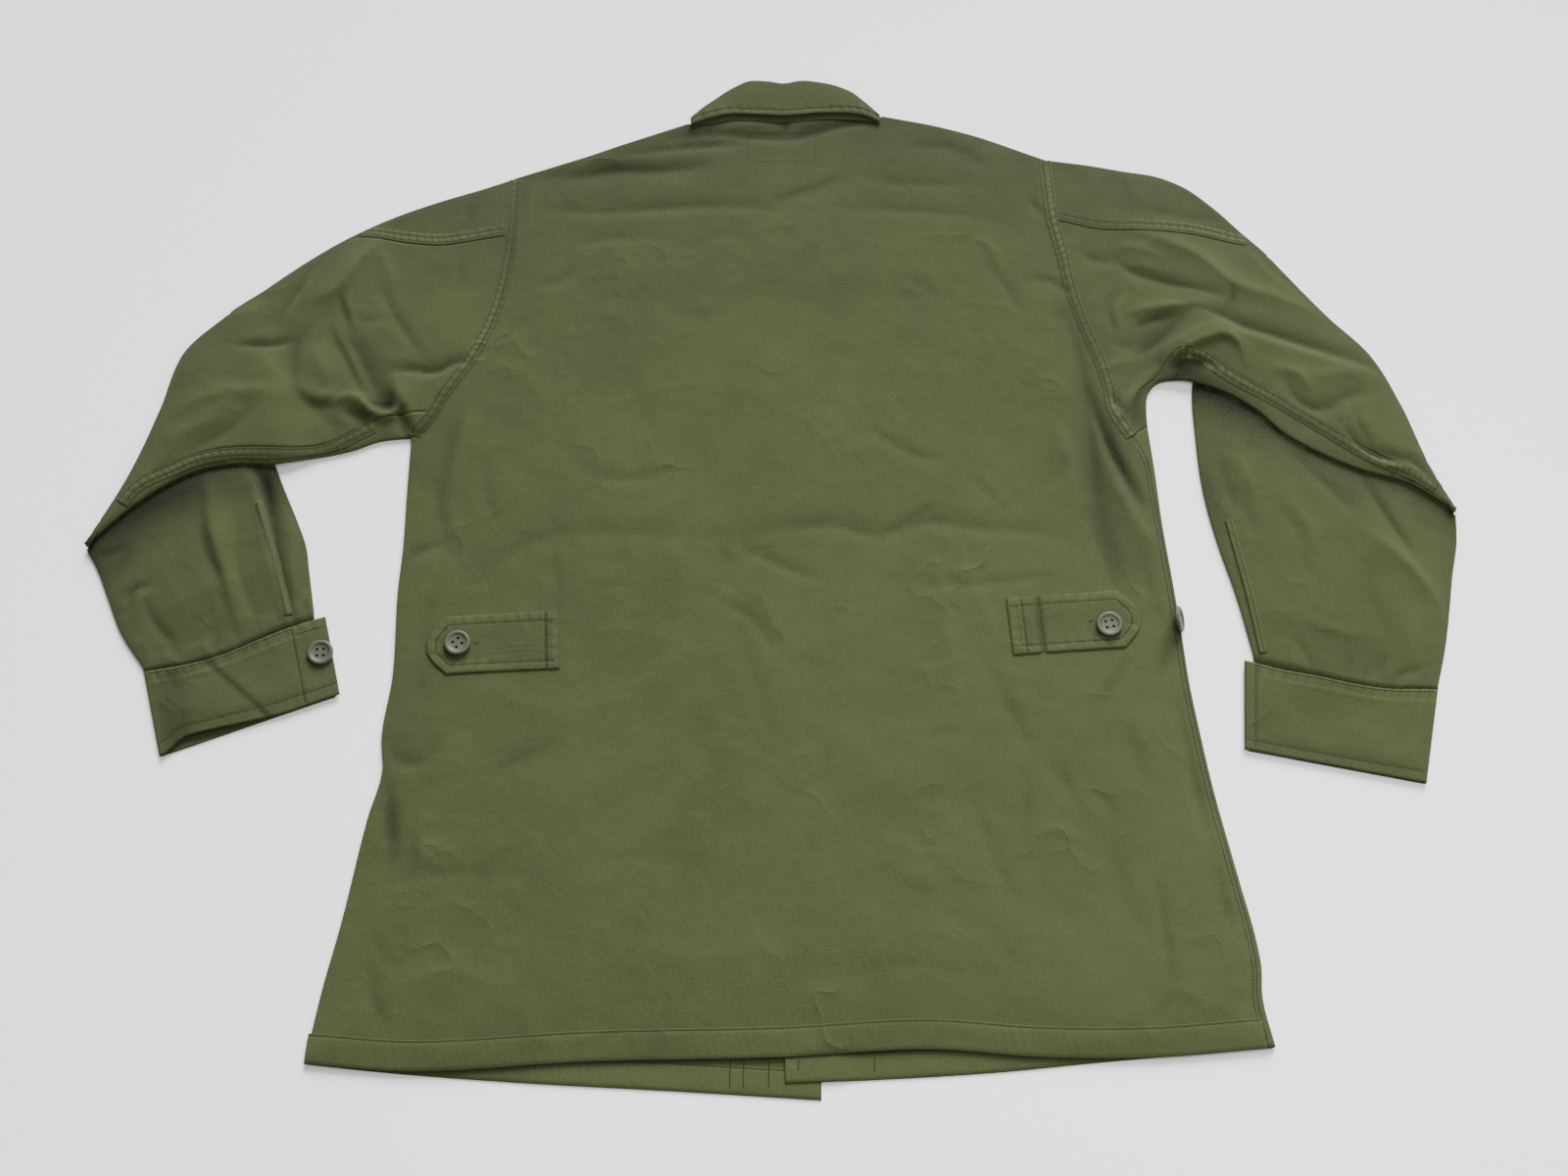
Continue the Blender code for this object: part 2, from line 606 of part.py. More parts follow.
def armhole_loops(body):
    """Each armhole as upper and lower points from shoulder to armpit, and the way out
    of the cloth at its shoulder and at its armpit."""
    upper, strip = body["upper"], body["strip"]
    left = {
        "upper": upper[SIDE_ROWS:, 0][::-1],
        "lower": body["left_front"][SIDE_ROWS:, 0][::-1],
        "shoulder": body["left_up"],
        "armpit": body["left_corner"],
    }
    right = {
        "upper": np.concatenate([upper[SIDE_ROWS:, -1][::-1], strip[-1:, 1]]),
        "lower": body["right_front"][SIDE_ROWS:, -1][::-1],
        "shoulder": body["right_up"],
        "armpit": body["right_corner"],
    }
    return left, right


def ring(upper, lower, out_first, out_last):
    """One closed section: the upper layer, round the lower edge, the lower layer back,
    and round the outer edge to the start."""
    far = turn(upper[-1], lower[-1], out_last)
    near = turn(upper[0], lower[0], out_first)[::-1]
    return np.concatenate([upper, far, lower[::-1], near, upper[:1]])


def sleeve_rings(sleeve, loop, wearer_left):
    """The sleeve as rows of closed sections: upper arm, the fold at the elbow, forearm."""
    outer, out_first = inset_edge(sleeve["outer"], UPPER_ARM_ROWS, not wearer_left)
    lower, out_last = inset_edge(sleeve["lower"], UPPER_ARM_ROWS, wearer_left)
    inner, inner_out = inset_edge(sleeve["inner"], FOREARM_ROWS, wearer_left)
    hand, hand_out = inset_edge(sleeve["forearm"], FOREARM_ROWS, not wearer_left)
    out_first[0], out_last[0] = loop["shoulder"], loop["armpit"]
    counts = {"upper": len(loop["upper"]) - 1, "lower": UNDER_COLUMNS}
    crease, crease_out = {}, {}
    for layer, count in counts.items():
        crease[layer], crease_out[layer] = inset_edge(
            sleeve["crease"], count, not wearer_left, CREASE_RADIUS + WALL / 2)
        crease[layer][-1] = np.array(sleeve["elbow"])
    outer[0], lower[0] = loop["upper"][0, :2], loop["upper"][-1, :2]
    outer[-1], lower[-1] = crease["upper"][0], crease["upper"][-1]
    inner[0], hand[0] = outer[-1], lower[-1]

    flat = {k: sweep(loop[k][:, :2], crease[k], outer, lower, ARMHOLE_FADE) for k in counts}
    low = at_height(flat["lower"], TABLE + arm_lift(sleeve, *split(flat["lower"])))
    top = at_height(flat["upper"], arm_lift(sleeve, *split(flat["upper"]))
                    + body_top(*split(flat["upper"])))
    top[:, 0, 2], top[:, -1, 2] = low[:, 0, 2] + 2 * FOLD, low[:, -1, 2] + 2 * FOLD
    top[0] = loop["upper"]
    rows = [ring(top[k], low[k], out_first[k], out_last[k])
            for k in range(UPPER_ARM_ROWS + 1)]

    wrist = {k: curve(sleeve["wrist"], counts[k], INSET, INSET) for k in counts}
    inner[-1], hand[-1] = wrist["upper"][0], wrist["upper"][-1]
    flat = {k: sweep(crease[k], wrist[k], inner, hand) for k in counts}
    under = at_height(flat["upper"], TABLE)
    over = at_height(flat["lower"], forearm_top(sleeve, *split(flat["lower"])))
    over[:, 0, 2] = over[:, -1, 2] = over[0, :, 2] = over[-1, :, 2] = EDGE_TOP

    ends = unit(crease["upper"][[0, -1]] - crease["upper"][[1, -2]])
    for angle in np.radians(CREASE_ANGLES):
        bent = {}
        for layer, above, below in (("upper", top[-1], under[0]), ("lower", low[-1], over[0])):
            half, middle = (above[:, 2] - below[:, 2]) / 2, (above[:, 2] + below[:, 2]) / 2
            out = crease_out[layer] * (half * math.cos(angle))[:, None]
            bent[layer] = at_height(crease[layer] + out, middle + half * math.sin(angle))
        rows.append(ring(bent["upper"], bent["lower"], *ends))
    rows += [ring(under[k], over[k], inner_out[k], hand_out[k])
             for k in range(FOREARM_ROWS + 1)]
    return np.array(rows)


def part_at_seams(rings, sleeve, across):
    """Two pieces from one sleeve. The inseam runs along one column of the sections. The
    rear seam leaves the armhole on the upper layer, reaches the outer edge after some
    rows, and follows that edge from there on. The columns between it and the edge
    close up towards the edge."""
    inseam = across - 1
    for row in range(1, sleeve["seam_rows"] + 1):
        left = 1 - row / sleeve["seam_rows"]
        share = max(sleeve["seam_at_armhole"] * left**0.8, SEAM_END)
        path = rings[row, :inseam + 1]
        at = np.r_[np.linspace(0, share, WEDGE + 1),
                   np.linspace(share, 1, inseam + 1 - WEDGE)[1:]]
        rings[row, :inseam + 1] = points_at(path, at * length(path))
    edge = -3  # the column half way round the outer edge
    cut = sleeve["seam_rows"]
    under = [rings[:cut + 1, WEDGE:inseam + 1], rings[cut:, edge:], rings[cut:, :inseam + 1]]
    top = [rings[:cut + 1, edge:], rings[:cut + 1, :WEDGE + 1], rings[:, inseam:edge + 1]]
    return under, top


# ---- collar, cuffs and what is sewn on -----------------------------------------------


def collar():
    """The stand on the back's top edge, the fold above it, and the fall back over it."""
    x, fold, edge = np.array(COLLAR_SECTIONS, float).T
    rows = []
    for share in (0, 0.5, 1):
        flat = np.stack([x, edge + 1 + share * (fold - INSET - edge - 1)], axis=1)
        rows.append(at_height(flat, body_top(*split(flat)) + LAYER))
    falls = [row + (0, 0, 2 * FOLD) for row in rows]
    falls[0][:, 1] -= 1
    outward = np.tile((0.0, 1.0), (len(x), 1))
    return np.stack([*rows, *turn(falls[-1], rows[-1], outward)[::-1], *falls[::-1]])


def leaf(neckline, edge, left):
    """A front leaf: from its seam at the front's neckline it turns down and lies flat
    under the front."""
    below = at_height(neckline[:, :2], TABLE)
    free = at_height(curve(edge, len(neckline) - 1), TABLE)
    bend = turn(neckline, below, normals(neckline[:, :2], left))
    return np.stack([neckline, *bend, below, (below + free) / 2, free])


def cuff(sleeve, table):
    """A cuff as one strip. Its upper layer runs from the closing end to the outer edge,
    its lower layer back to the inner edge, and its end lies between the two."""
    wrist = np.concatenate([[table["inner"]], smooth(sleeve["wrist"])])
    hem = np.array([table["hem_inner"], table["hem_outer"]], float)
    wide = length(wrist)
    inner = OVERHANG + INSET
    upper = np.linspace(0, wide - INSET, CUFF_COLUMNS + 1)
    lower = np.linspace(inner, wide - INSET, CUFF_COLUMNS + 1)
    lap = np.linspace(inner, UNDERLAP * wide, 3)
    out = unit(wrist[-1] - wrist[0])
    rows = []
    clear = GAP / np.linalg.norm(hem[0] - wrist[0])
    for share in np.linspace(clear, 1, CUFF_ROWS + 1):
        line = [at_height(
            (1 - share) * points_at(wrist, at) + share * points_at(hem, at / wide * length(hem)),
            z) for at, z in ((upper, EDGE_TOP), (lower, TABLE), (lap, TABLE + LAYER))]
        outer = turn(line[0][-1], line[1][-1], out)
        under = turn(line[2][0], line[1][0], -out)[::-1]
        rows.append(np.concatenate([line[0], outer, line[1][::-1], under, line[2]]))
    return np.array(rows)


def strip(path, width, count):
    """A flat band of even width along a path."""
    middle = curve(path, count)
    side = normals(middle, left=True) * width / 2
    return np.stack([middle - side, middle, middle + side], axis=1)


def tab(table):
    """A tab's flat shape as rows from its root to its tip."""
    from_tip, half = np.array(TAB_TIP, float).T
    at = np.r_[np.linspace(0, TAB_LENGTH - from_tip[-1], TAB_ROWS - 1),
               TAB_LENGTH - from_tip[-2::-1]]
    half = np.interp(TAB_LENGTH - at, from_tip, half * TAB_WIDTH / 2 / half[-1])
    turned = math.radians(table["turn"])
    run = np.array([math.cos(turned), math.sin(turned)])
    across = np.array([-run[1], run[0]])
    share = np.linspace(-1, 1, TAB_COLUMNS + 1)
    return (np.array(table["root"]) + at[:, None, None] * run
            + (half[:, None] * share)[..., None] * across)


def button(name, back_centre, lean=90.0):
    """A disc with four holes. back_centre is the middle of its back; its face looks
    towards +X, raised by the lean."""
    outline = bpy.data.curves.new(name, "CURVE")
    outline.dimensions = "2D"
    outline.fill_mode = "BOTH"
    outline.extrude = BUTTON_HEIGHT / 2 * MM
    circles = [(0, 0, BUTTON_RADIUS, BUTTON_SIDES)] + [
        (sx * HOLE_OFFSET, sy * HOLE_OFFSET, HOLE_RADIUS, HOLE_SIDES)
        for sx in (-1, 1) for sy in (-1, 1)]
    for x, y, radius, sides in circles:
        spline = outline.splines.new("POLY")
        spline.use_cyclic_u = True
        spline.points.add(sides - 1)
        for k, point in enumerate(spline.points):
            angle = math.tau * (k + 0.5) / sides
            point.co = ((x + radius * math.cos(angle)) * MM,
                        (y + radius * math.sin(angle)) * MM, 0, 1)
    outline.materials.append(material(name, BUTTON))
    obj = bpy.data.objects.new(name, outline)
    bpy.context.collection.objects.link(obj)
    lean = math.radians(lean)
    axis = np.array([math.cos(lean), 0, math.sin(lean)])
    x, y, z = back_centre + axis * BUTTON_HEIGHT / 2
    obj.location = (x * MM, (y - ORIGIN_Y) * MM, z * MM)
    obj.rotation_euler = (0, math.pi / 2 - lean, 0)


def on_top(place, grid, wall):
    """Where the back of a button goes that lies on a piece."""
    x, y = place
    near = np.hypot(grid[..., 0] - x, grid[..., 1] - y) < BUTTON_RADIUS + 12
    return np.array([x, y, grid[near][:, 2].max() + wall / 2 + GAP])


def beside_edge():
    """Where the back of the side button goes, against the right folded edge."""
    edge = np.array(sorted(RIGHT_SIDE, key=lambda point: point[1]), float)
    x = np.interp(SIDE_BUTTON_Y, edge[:, 1], edge[:, 0]) - INSET
    z = TABLE + FOLD
    lean = math.radians(SIDE_BUTTON_LEAN)
    off = INSET + GAP
    high = TABLE + BUTTON_RADIUS * math.cos(lean)
    up = (high - z - off * math.sin(lean)) / math.cos(lean)
    return np.array([x + off * math.cos(lean) - up * math.sin(lean), SIDE_BUTTON_Y, high])


def main():
    clear_scene()
    body = torso()
    left_loop, right_loop = armhole_loops(body)
    back = [body["upper"], body["left_edge"], body["left_shoulder"],
            body["right_shoulder"]]
    cloth("back", back, CLOTH, corner=LEFT_SIDE[-1])
    cloth("front_left", [body["left_front"]], CLOTH_UNDER)
    cloth("front_right", [body["right_front"], body["right_edge"], body["strip"]],
          CLOTH_UNDER)

    forearm = {}
    for side, sleeve, loop in (
        ("left", LEFT_SLEEVE, left_loop), ("right", RIGHT_SLEEVE, right_loop)
    ):
        across = len(loop["upper"]) - 1
        rings = sleeve_rings(sleeve, loop, side == "left")
        forearm[side] = rings[-FOREARM_ROWS - 1:, across + 4:across + 5 + UNDER_COLUMNS]
        under, top = part_at_seams(rings, sleeve, across)
        cloth(f"undersleeve_{side}", under, CLOTH, shrink=SLEEVE_SHRINK)
        cloth(f"topsleeve_{side}", top, CLOTH_UNDER, shrink=SLEEVE_SHRINK,
              corner=LEFT_SIDE[-1])

    cloth("collar", [collar()], CLOTH)
    left_neck = body["left_front"][-1, -FRONT_NECK_COLUMNS - 1:]
    right_neck = body["right_front"][-1, :FRONT_NECK_COLUMNS + 1]
    for side, neck, edge, span in (
        ("left", left_neck, LEFT_LEAF, (3.0, 112.0)),
        ("right", right_neck, RIGHT_LEAF, (13.5, 102.0)),
    ):
        stations = np.unique(np.r_[span, points_run(neck)])
        stations = stations[(stations >= span[0]) & (stations <= span[1])]
        cloth(f"collar_leaf_{side}",
              [leaf(points_at(neck, stations), edge, left=True)], CLOTH)

    for side, sleeve, table in (
        ("left", LEFT_SLEEVE, LEFT_CUFF), ("right", RIGHT_SLEEVE, RIGHT_CUFF)
    ):
        cloth(f"cuff_{side}", [cuff(sleeve, table)], CLOTH)
    for side, path in (("left", LEFT_PLACKET), ("right", RIGHT_PLACKET)):
        flat = strip(path, PLACKET_WIDTH, 6)
        cloth(f"placket_{side}", [laid(flat, forearm[side], WALL)], CLOTH, shrink=0)
    for side, table, place in (
        ("left", LEFT_TAB, LEFT_TAB_BUTTON), ("right", RIGHT_TAB, RIGHT_TAB_BUTTON)
    ):
        grid = laid(tab(table), body["upper"], TAB_WALL)
        cloth(f"tab_{side}", [grid], CLOTH, TAB_WALL, shrink=0)
        button(f"button_tab_{side}", on_top(place, grid, TAB_WALL))
    button("button_cuff_left", np.array([*CUFF_BUTTON, EDGE_TOP + WALL / 2 + GAP]))
    button("button_side_right", beside_edge(), SIDE_BUTTON_LEAN)


main()
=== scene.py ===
# %% [markdown]
# # A field jacket laid out on its front
# The real jacket is sewn from flat pieces of olive cotton: a back, two fronts, sleeves in
# two pieces, cuffs, a collar and two waist tabs. It lies face down, so its back is on top.
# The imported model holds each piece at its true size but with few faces. This script makes
# each piece again as a surface on a fine grid, adds folds, felled seams and thread, and
# gives it its finish. The frame says where everything is, so nothing has to be fitted.

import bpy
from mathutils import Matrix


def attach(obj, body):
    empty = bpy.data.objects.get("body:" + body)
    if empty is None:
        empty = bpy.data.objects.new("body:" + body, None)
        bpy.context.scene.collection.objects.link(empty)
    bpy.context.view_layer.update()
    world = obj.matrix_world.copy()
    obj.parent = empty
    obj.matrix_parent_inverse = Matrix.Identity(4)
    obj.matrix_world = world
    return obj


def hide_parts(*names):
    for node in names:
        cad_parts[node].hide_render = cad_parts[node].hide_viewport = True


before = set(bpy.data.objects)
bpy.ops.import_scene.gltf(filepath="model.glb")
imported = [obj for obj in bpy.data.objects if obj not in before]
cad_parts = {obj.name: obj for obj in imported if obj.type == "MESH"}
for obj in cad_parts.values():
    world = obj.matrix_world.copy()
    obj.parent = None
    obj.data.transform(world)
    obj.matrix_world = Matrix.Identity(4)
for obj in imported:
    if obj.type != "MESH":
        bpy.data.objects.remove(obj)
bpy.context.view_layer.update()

# %% Modules and lengths
import math

import bmesh
import bpy
import numpy as np

MM = 0.001  # one millimetre in metres
ORIGIN_Y = -2.5  # where the tables' y meets the frame's origin

# %% [markdown]
# ## The camera and the light
# A flat garment is usually shown from above and a little from the hem, which leaves the
# collar further away and so smaller. A 50 mm lens at about twice the jacket's length keeps
# that effect gentle. One distant soft light from the collar's side draws the folds, a weak
# lamp overhead lifts the middle, and a pale sky fills the shadows.

# %% Camera
def new_object(name, data):
    """An object that carries some data, put into the scene."""
    made = bpy.data.objects.new(name, data)
    bpy.context.scene.collection.objects.link(made)
    return made


ELEVATION = math.radians(68)
DISTANCE = 1.588
TARGET = (0.008, -0.0335, 0.0)

camera = new_object("camera", bpy.data.cameras.new("camera"))
camera.data.lens = 50
camera.data.sensor_width = 36
camera.location = (
    TARGET[0],
    TARGET[1] - DISTANCE * math.cos(ELEVATION),
    TARGET[2] + DISTANCE * math.sin(ELEVATION),
)
camera.rotation_euler = (math.pi / 2 - ELEVATION, 0, 0)
bpy.context.scene.camera = camera

# %% Light, sky and floor
def far_light(name, come_from, strength, spread):
    """A very distant light, the same all over the jacket, whose direction is the unit
    vector from come_from to the origin; its spread in degrees softens the shadows."""
    light = new_object(name, bpy.data.lights.new(name, "SUN"))
    light.data.energy = strength
    light.data.angle = math.radians(spread)
    x, y, z = come_from
    light.location = come_from
    light.rotation_euler = (math.atan2(math.hypot(x, y), z), 0, math.atan2(-x, y) + math.pi)


def near_light(name, place, wide, power):
    """A square lamp above the jacket that looks straight down: the cloth below its middle
    gets most of it, and the corners less."""
    light = new_object(name, bpy.data.lights.new(name, "AREA"))
    light.data.shape, light.data.size = "SQUARE", wide
    light.data.energy = power
    light.location = place


far_light("key", (0.45, 2.0, 1.22), 8.7, 36)
near_light("overhead", (0.38, -0.18, 1.0), 0.7, 8.4)

sky = bpy.data.worlds.new("sky")
sky.use_nodes = True
sky.node_tree.nodes["Background"].inputs["Color"].default_value = (1.0, 1.0, 1.0, 1)
sky.node_tree.nodes["Background"].inputs["Strength"].default_value = 0.36
bpy.context.scene.world = sky

FLOOR_HALF, FLOOR_Z = 6.0, -0.0002  # a hair below the jacket
floor_mesh = bpy.data.meshes.new("floor")
floor_mesh.from_pydata(
    [(x * FLOOR_HALF, y * FLOOR_HALF, FLOOR_Z)
     for x, y in ((-1, -1), (1, -1), (1, 1), (-1, 1))], [], [(0, 1, 2, 3)])
floor_finish = bpy.data.materials.new("floor")
floor_finish.use_nodes = True
floor_shader = floor_finish.node_tree.nodes["Principled BSDF"]
floor_shader.inputs["Base Color"].default_value = (0.97, 0.97, 0.97, 1)
floor_shader.inputs["Roughness"].default_value = 0.9
floor_mesh.materials.append(floor_finish)
floor = new_object("floor", floor_mesh)

# %% [markdown]
# ## Curves and patches
# A pattern cutter draws a few points and a smooth line through them. So do these helpers:
# a short table of points becomes a close chain, and four such chains span a patch. The
# same few helpers then serve every piece. Lengths are in millimetres until the very end.

# %% Curves
def points_run(path):
    """The length along a path at each of its points: the running sum of its steps."""
    return np.r_[0, np.cumsum(np.linalg.norm(np.diff(path, axis=0), axis=1))]


def points_at(path, stations):
    """The points of a path at the given lengths along it, read in straight lines."""
    run = points_run(path)
    return np.stack([np.interp(stations, run, axis) for axis in path.T], axis=1)


def length(path):
    """The whole length of a path."""
    return points_run(path)[-1]


def smooth(points, close=40):
    """A close chain of points on a smooth curve through the given ones: a cubic between
    each pair, whose slope at a point is that of its two neighbours."""
    knots = np.array(points, float)
    at = points_run(knots)
    slope = np.gradient(knots, at, axis=0)
    fine = np.linspace(0, at[-1], close * len(knots))
    k = np.clip(np.searchsorted(at, fine, side="right") - 1, 0, len(at) - 2)
    span = (at[k + 1] - at[k])[:, None]
    t = (fine - at[k])[:, None] / span
    return (
        (2 * t**3 - 3 * t**2 + 1) * knots[k]
        + (t**3 - 2 * t**2 + t) * span * slope[k]
        + (3 * t**2 - 2 * t**3) * knots[k + 1]
        + (t**3 - t**2) * span * slope[k + 1]
    )


def curve(points, count, start=0.0, end=0.0):
    """count + 1 points at even lengths on a smooth curve, less a length at each end."""
    path = smooth(points)
    return points_at(path, np.linspace(start, length(path) - end, count + 1))


def at_x(points, stations):
    """The points of a smooth curve where it passes the given values of x."""
    path = smooth(points)
    return np.stack([stations, np.interp(stations, path[:, 0], path[:, 1])], axis=1)


def unit(vectors):
    """Vectors over their own lengths."""
    return vectors / np.linalg.norm(vectors, axis=-1, keepdims=True)


def normals(path, left=True):
    """Horizontal unit normals of a path: its direction turned a quarter to one side."""
    along = unit(np.gradient(path, axis=0))
    sign = 1.0 if left else -1.0
    return np.stack([-along[:, 1], along[:, 0]], axis=1) * sign


def soft(x):
    """0 below 0, 1 above 1, and an S curve between."""
    x = np.clip(x, 0, 1)
    return x * x * (3 - 2 * x)


def split(flat):
    """The last axis of an array taken apart, as x and y."""
    return np.moveaxis(flat, -1, 0)


def at_height(flat, z):
    """Points of a flat array with their heights added."""
    return np.concatenate([flat, np.broadcast_to(z, flat.shape[:-1])[..., None]], axis=-1)


# %% Patches
def patch(start, end, first, last):
    """Coons patch: the mean of the two rulings between opposite sides, less the flat
    patch between the corners. Rows run from start to end, columns from first to last."""
    v = np.linspace(0, 1, len(first))[:, None, None]
    u = np.linspace(0, 1, len(start))[None, :, None]
    corners = (
        (1 - u) * (1 - v) * start[0] + u * (1 - v) * start[-1]
        + (1 - u) * v * end[0] + u * v * end[-1]
    )
    rows = (1 - v) * start[None] + v * end[None]
    columns = (1 - u) * first[:, None] + u * last[:, None]
    return rows + columns - corners


def sweep(start, end, first, last, fade=1.0):
    """Rows between the curves first and last: straight lines, bent by what start and end
    differ from their own. A fade above 1 makes the shape of start die away sooner."""
    v = np.linspace(0, 1, len(first))[:, None, None]
    u = np.linspace(0, 1, len(start))[None, :, None]
    bends = [path - ((1 - u[0]) * path[0] + u[0] * path[-1]) for path in (start, end)]
    straight = (1 - u) * first[:, None] + u * last[:, None]
    return straight + (1 - v) ** fade * bends[0] + v * bends[1]


def depth(outline, x, y):
    """Distance to the nearest side of a closed outline, above zero inside it and below
    zero outside. The points go through in batches, which keeps the arrays small."""
    (ax, ay), (bx, by) = outline.T, np.roll(outline, -1, axis=0).T
    dx, dy = bx - ax, by - ay
    size = np.maximum(dx**2 + dy**2, 1e-9)
    flat = np.stack([np.ravel(x), np.ravel(y)], axis=1)
    found = []
    for part in np.array_split(flat, len(flat) // 3000 + 1):
        px, py = part[:, :1], part[:, 1:]
        t = np.clip(((px - ax) * dx + (py - ay) * dy) / size, 0, 1)
        gap = np.hypot(px - ax - t * dx, py - ay - t * dy).min(axis=-1)
        straddles = (ay > py) != (by > py)
        crossing = ax + (py - ay) * dx / np.where(dy == 0, 1e-9, dy)
        inside = (straddles & (px < crossing)).sum(axis=-1) % 2 == 1
        found.append(np.where(inside, gap, -gap))
    return np.concatenate(found).reshape(np.shape(x))


# %% [markdown]
# ## The jacket's outline
# These are the jacket's own lines as it lies: each table holds x and y in millimetres,
# from its first named end to its second. A few of them are shared by two pieces, as a
# seam is, so a change to a line changes both.

# %% Torso lines
LEFT_SIDE = (  # hem, armpit
    (-313, -380), (-304, -325), (-297, -292), (-283, -211), (-275, -172), (-277, -156),
    (-272.5, -105), (-273, -37), (-271.5, -6), (-271.5, 41), (-271, 84),
)
RIGHT_SIDE = (  # hem, armpit
    (338, -369), (332, -334), (333, -315), (331, -297), (323, -257), (308, -180),
    (303.5, -150), (298.5, -113), (294.5, -64), (291.5, -32), (286.5, 18), (284, 57),
    (281, 92),
)
LEFT_ARMHOLE = (  # armpit, shoulder
    (-271, 84), (-258, 99), (-247, 120), (-235, 139), (-223, 162), (-213, 190),
    (-207, 220), (-204, 250), (-203, 285), (-203, 311),
)
RIGHT_ARMHOLE = (  # side seam, shoulder
    (268, 84), (256, 105), (253, 123), (247, 147), (237, 176), (229, 204), (223, 240),
    (217, 271), (215, 300), (214, 328),
)
LEFT_SHOULDER = ((-203, 311), (-137, 335), (-68, 361))  # armhole, neck
RIGHT_SHOULDER = ((86, 368), (151, 353), (214, 328))  # neck, armhole
NECKLINE = ((-68, 359), (-46, 364), (-32, 367), (8, 368), (31, 370), (63, 368), (86, 366))
BACK_HEM = (
    (-313, -380), (-254, -385), (-123, -379), (8, -376), (110, -371), (179, -376),
    (257, -376), (332, -369),
)
SIDE_SEAM_Y = (-369, -300, -200, -80, 20, 60)
SIDE_SEAM_INSET = (6.0, 5.0, 4.0, 3.6, 4.0, 6.0)  # how far it lies inside the edge
LEFT_FLY_X, RIGHT_FLY_X = 33.0, 9.0
LEFT_FRONT_HEM = ((-313, -380), (-267, -385), (-175, -392), (-57, -398.5), (33, -404))
RIGHT_FRONT_HEM = ((9, -393), (70, -390.5), (152, -385.5), (215, -379.5), (338, -369))
LEFT_FRONT_NECK = ((-68, 359), (-57, 328), (-22, 303), (33, 296))
RIGHT_FRONT_NECK = ((9, 296), (42, 303), (76, 330), (86, 366))
FLY_MARGIN, FLY_STEP = 7.0, 22.0
COLLAR_SECTIONS = (  # x, fold, edge of the fall
    (-66, 364, 357), (-56, 374, 361), (-46, 382, 364), (-32, 392.5, 366.5), (-20, 398.5, 366),
    (-6, 398.5, 365), (8, 396.5, 364.5), (22, 399, 365.5), (36, 397.5, 367), (50, 394, 367.5),
    (62, 388, 367), (72, 379, 365), (84, 366.5, 359),
)
LEFT_LEAF = ((-98, 316), (-86, 282), (-50, 250), (20, 238))
RIGHT_LEAF = ((22, 238), (66, 250), (98, 284), (110, 322))
LEAF_RISE_Y = (195.0, 225.0)  # the fronts rise over the leaves between these
LEAF_RISE_X = (115.0, 150.0)

# %% Sleeve lines
LEFT_SLEEVE = {
    "outer": (  # shoulder, upper end of the elbow's fold
        (-203, 311), (-229, 301), (-258, 291), (-295, 276), (-329, 258), (-381, 220),
        (-417, 188),
    ),
    "lower": (  # armpit, elbow
        (-271, 84), (-295, 81), (-313, 74), (-342, 67), (-371, 61), (-400, 61),
        (-428, 55), (-449, 44), (-469, 29), (-504, -6),
    ),
    "crease": (  # upper end of the fold, elbow
        (-417, 188), (-447, 156), (-461, 106), (-479, 49), (-504, -6),
    ),
    "inner": (  # upper end of the fold, under the upper arm, to the cuff
        (-417, 188), (-392, 118), (-371, 62), (-362, 41), (-351, 17), (-342, -6),
        (-339, -22), (-332, -59),
    ),
    "forearm": ((-504, -6), (-494, -22), (-483, -46), (-471, -72), (-451, -100)),
    "wrist": (  # inner, outer end of the cuff's seam
        (-332, -62), (-348, -68), (-373, -79), (-393, -88), (-414, -95), (-451, -102),
    ),
    "elbow": (-500.2, -2.5),
}
RIGHT_SLEEVE = {
    "outer": (
        (214, 328), (248, 323), (273, 318), (306, 311), (325, 301), (342, 286),
        (383, 238),
    ),
    "lower": (
        (281, 92), (281, 108), (283, 121), (290, 129), (304, 131), (333, 124),
        (362, 106), (382, 86), (405, 71), (437, 56), (469, 46), (504, 22),
    ),
    "crease": ((383, 238), (424, 185), (453, 152), (472, 110), (489, 56), (504, 22)),
    "inner": (
        (383, 238), (342, 192), (317, 129), (316, 84), (319, 36), (325, 3), (336.5, -43),
        (346, -92),
    ),
    "forearm": ((504, 22), (502, -1), (496, -27), (491, -53), (484.5, -83), (475.5, -114)),
    "wrist": ((346, -95), (359, -99), (387, -105), (414, -111), (442, -115), (475.5, -115)),
    "elbow": (500.2, 25.5),
}
ARMHOLE_FADE = 6.0  # how soon a sleeve's sections lose the armhole's shape
SEAM_END = 0.025
CROOK_MARGIN, CROOK_RAMP = 4.0, 34.0  # the upper arm comes down past the forearm
LEFT_CUFF = {"inner": (-324, -59.5), "hem_inner": (-309, -119), "hem_outer": (-433, -165)}
RIGHT_CUFF = {"inner": (338.5, -93), "hem_inner": (333.5, -160), "hem_outer": (459.5, -185)}

# %% Closed outlines
def joined(*paths):
    """One outline from paths that follow on from each other."""
    return np.concatenate([curve(path, 40)[:-1] for path in paths])


def upper_arm_outline(sleeve):
    return joined(sleeve["outer"], sleeve["crease"], sleeve["lower"][::-1])


def forearm_outline(sleeve, longer=0.0):
    """The forearm's outline, or one whose wrist lies further out by a length."""
    wrist = np.array(sleeve["wrist"], float)
    way = unit(wrist.mean(axis=0) - np.mean(sleeve["crease"], axis=0))
    return joined(sleeve["crease"], sleeve["forearm"], (wrist + way * longer)[::-1],
                  sleeve["inner"][::-1])


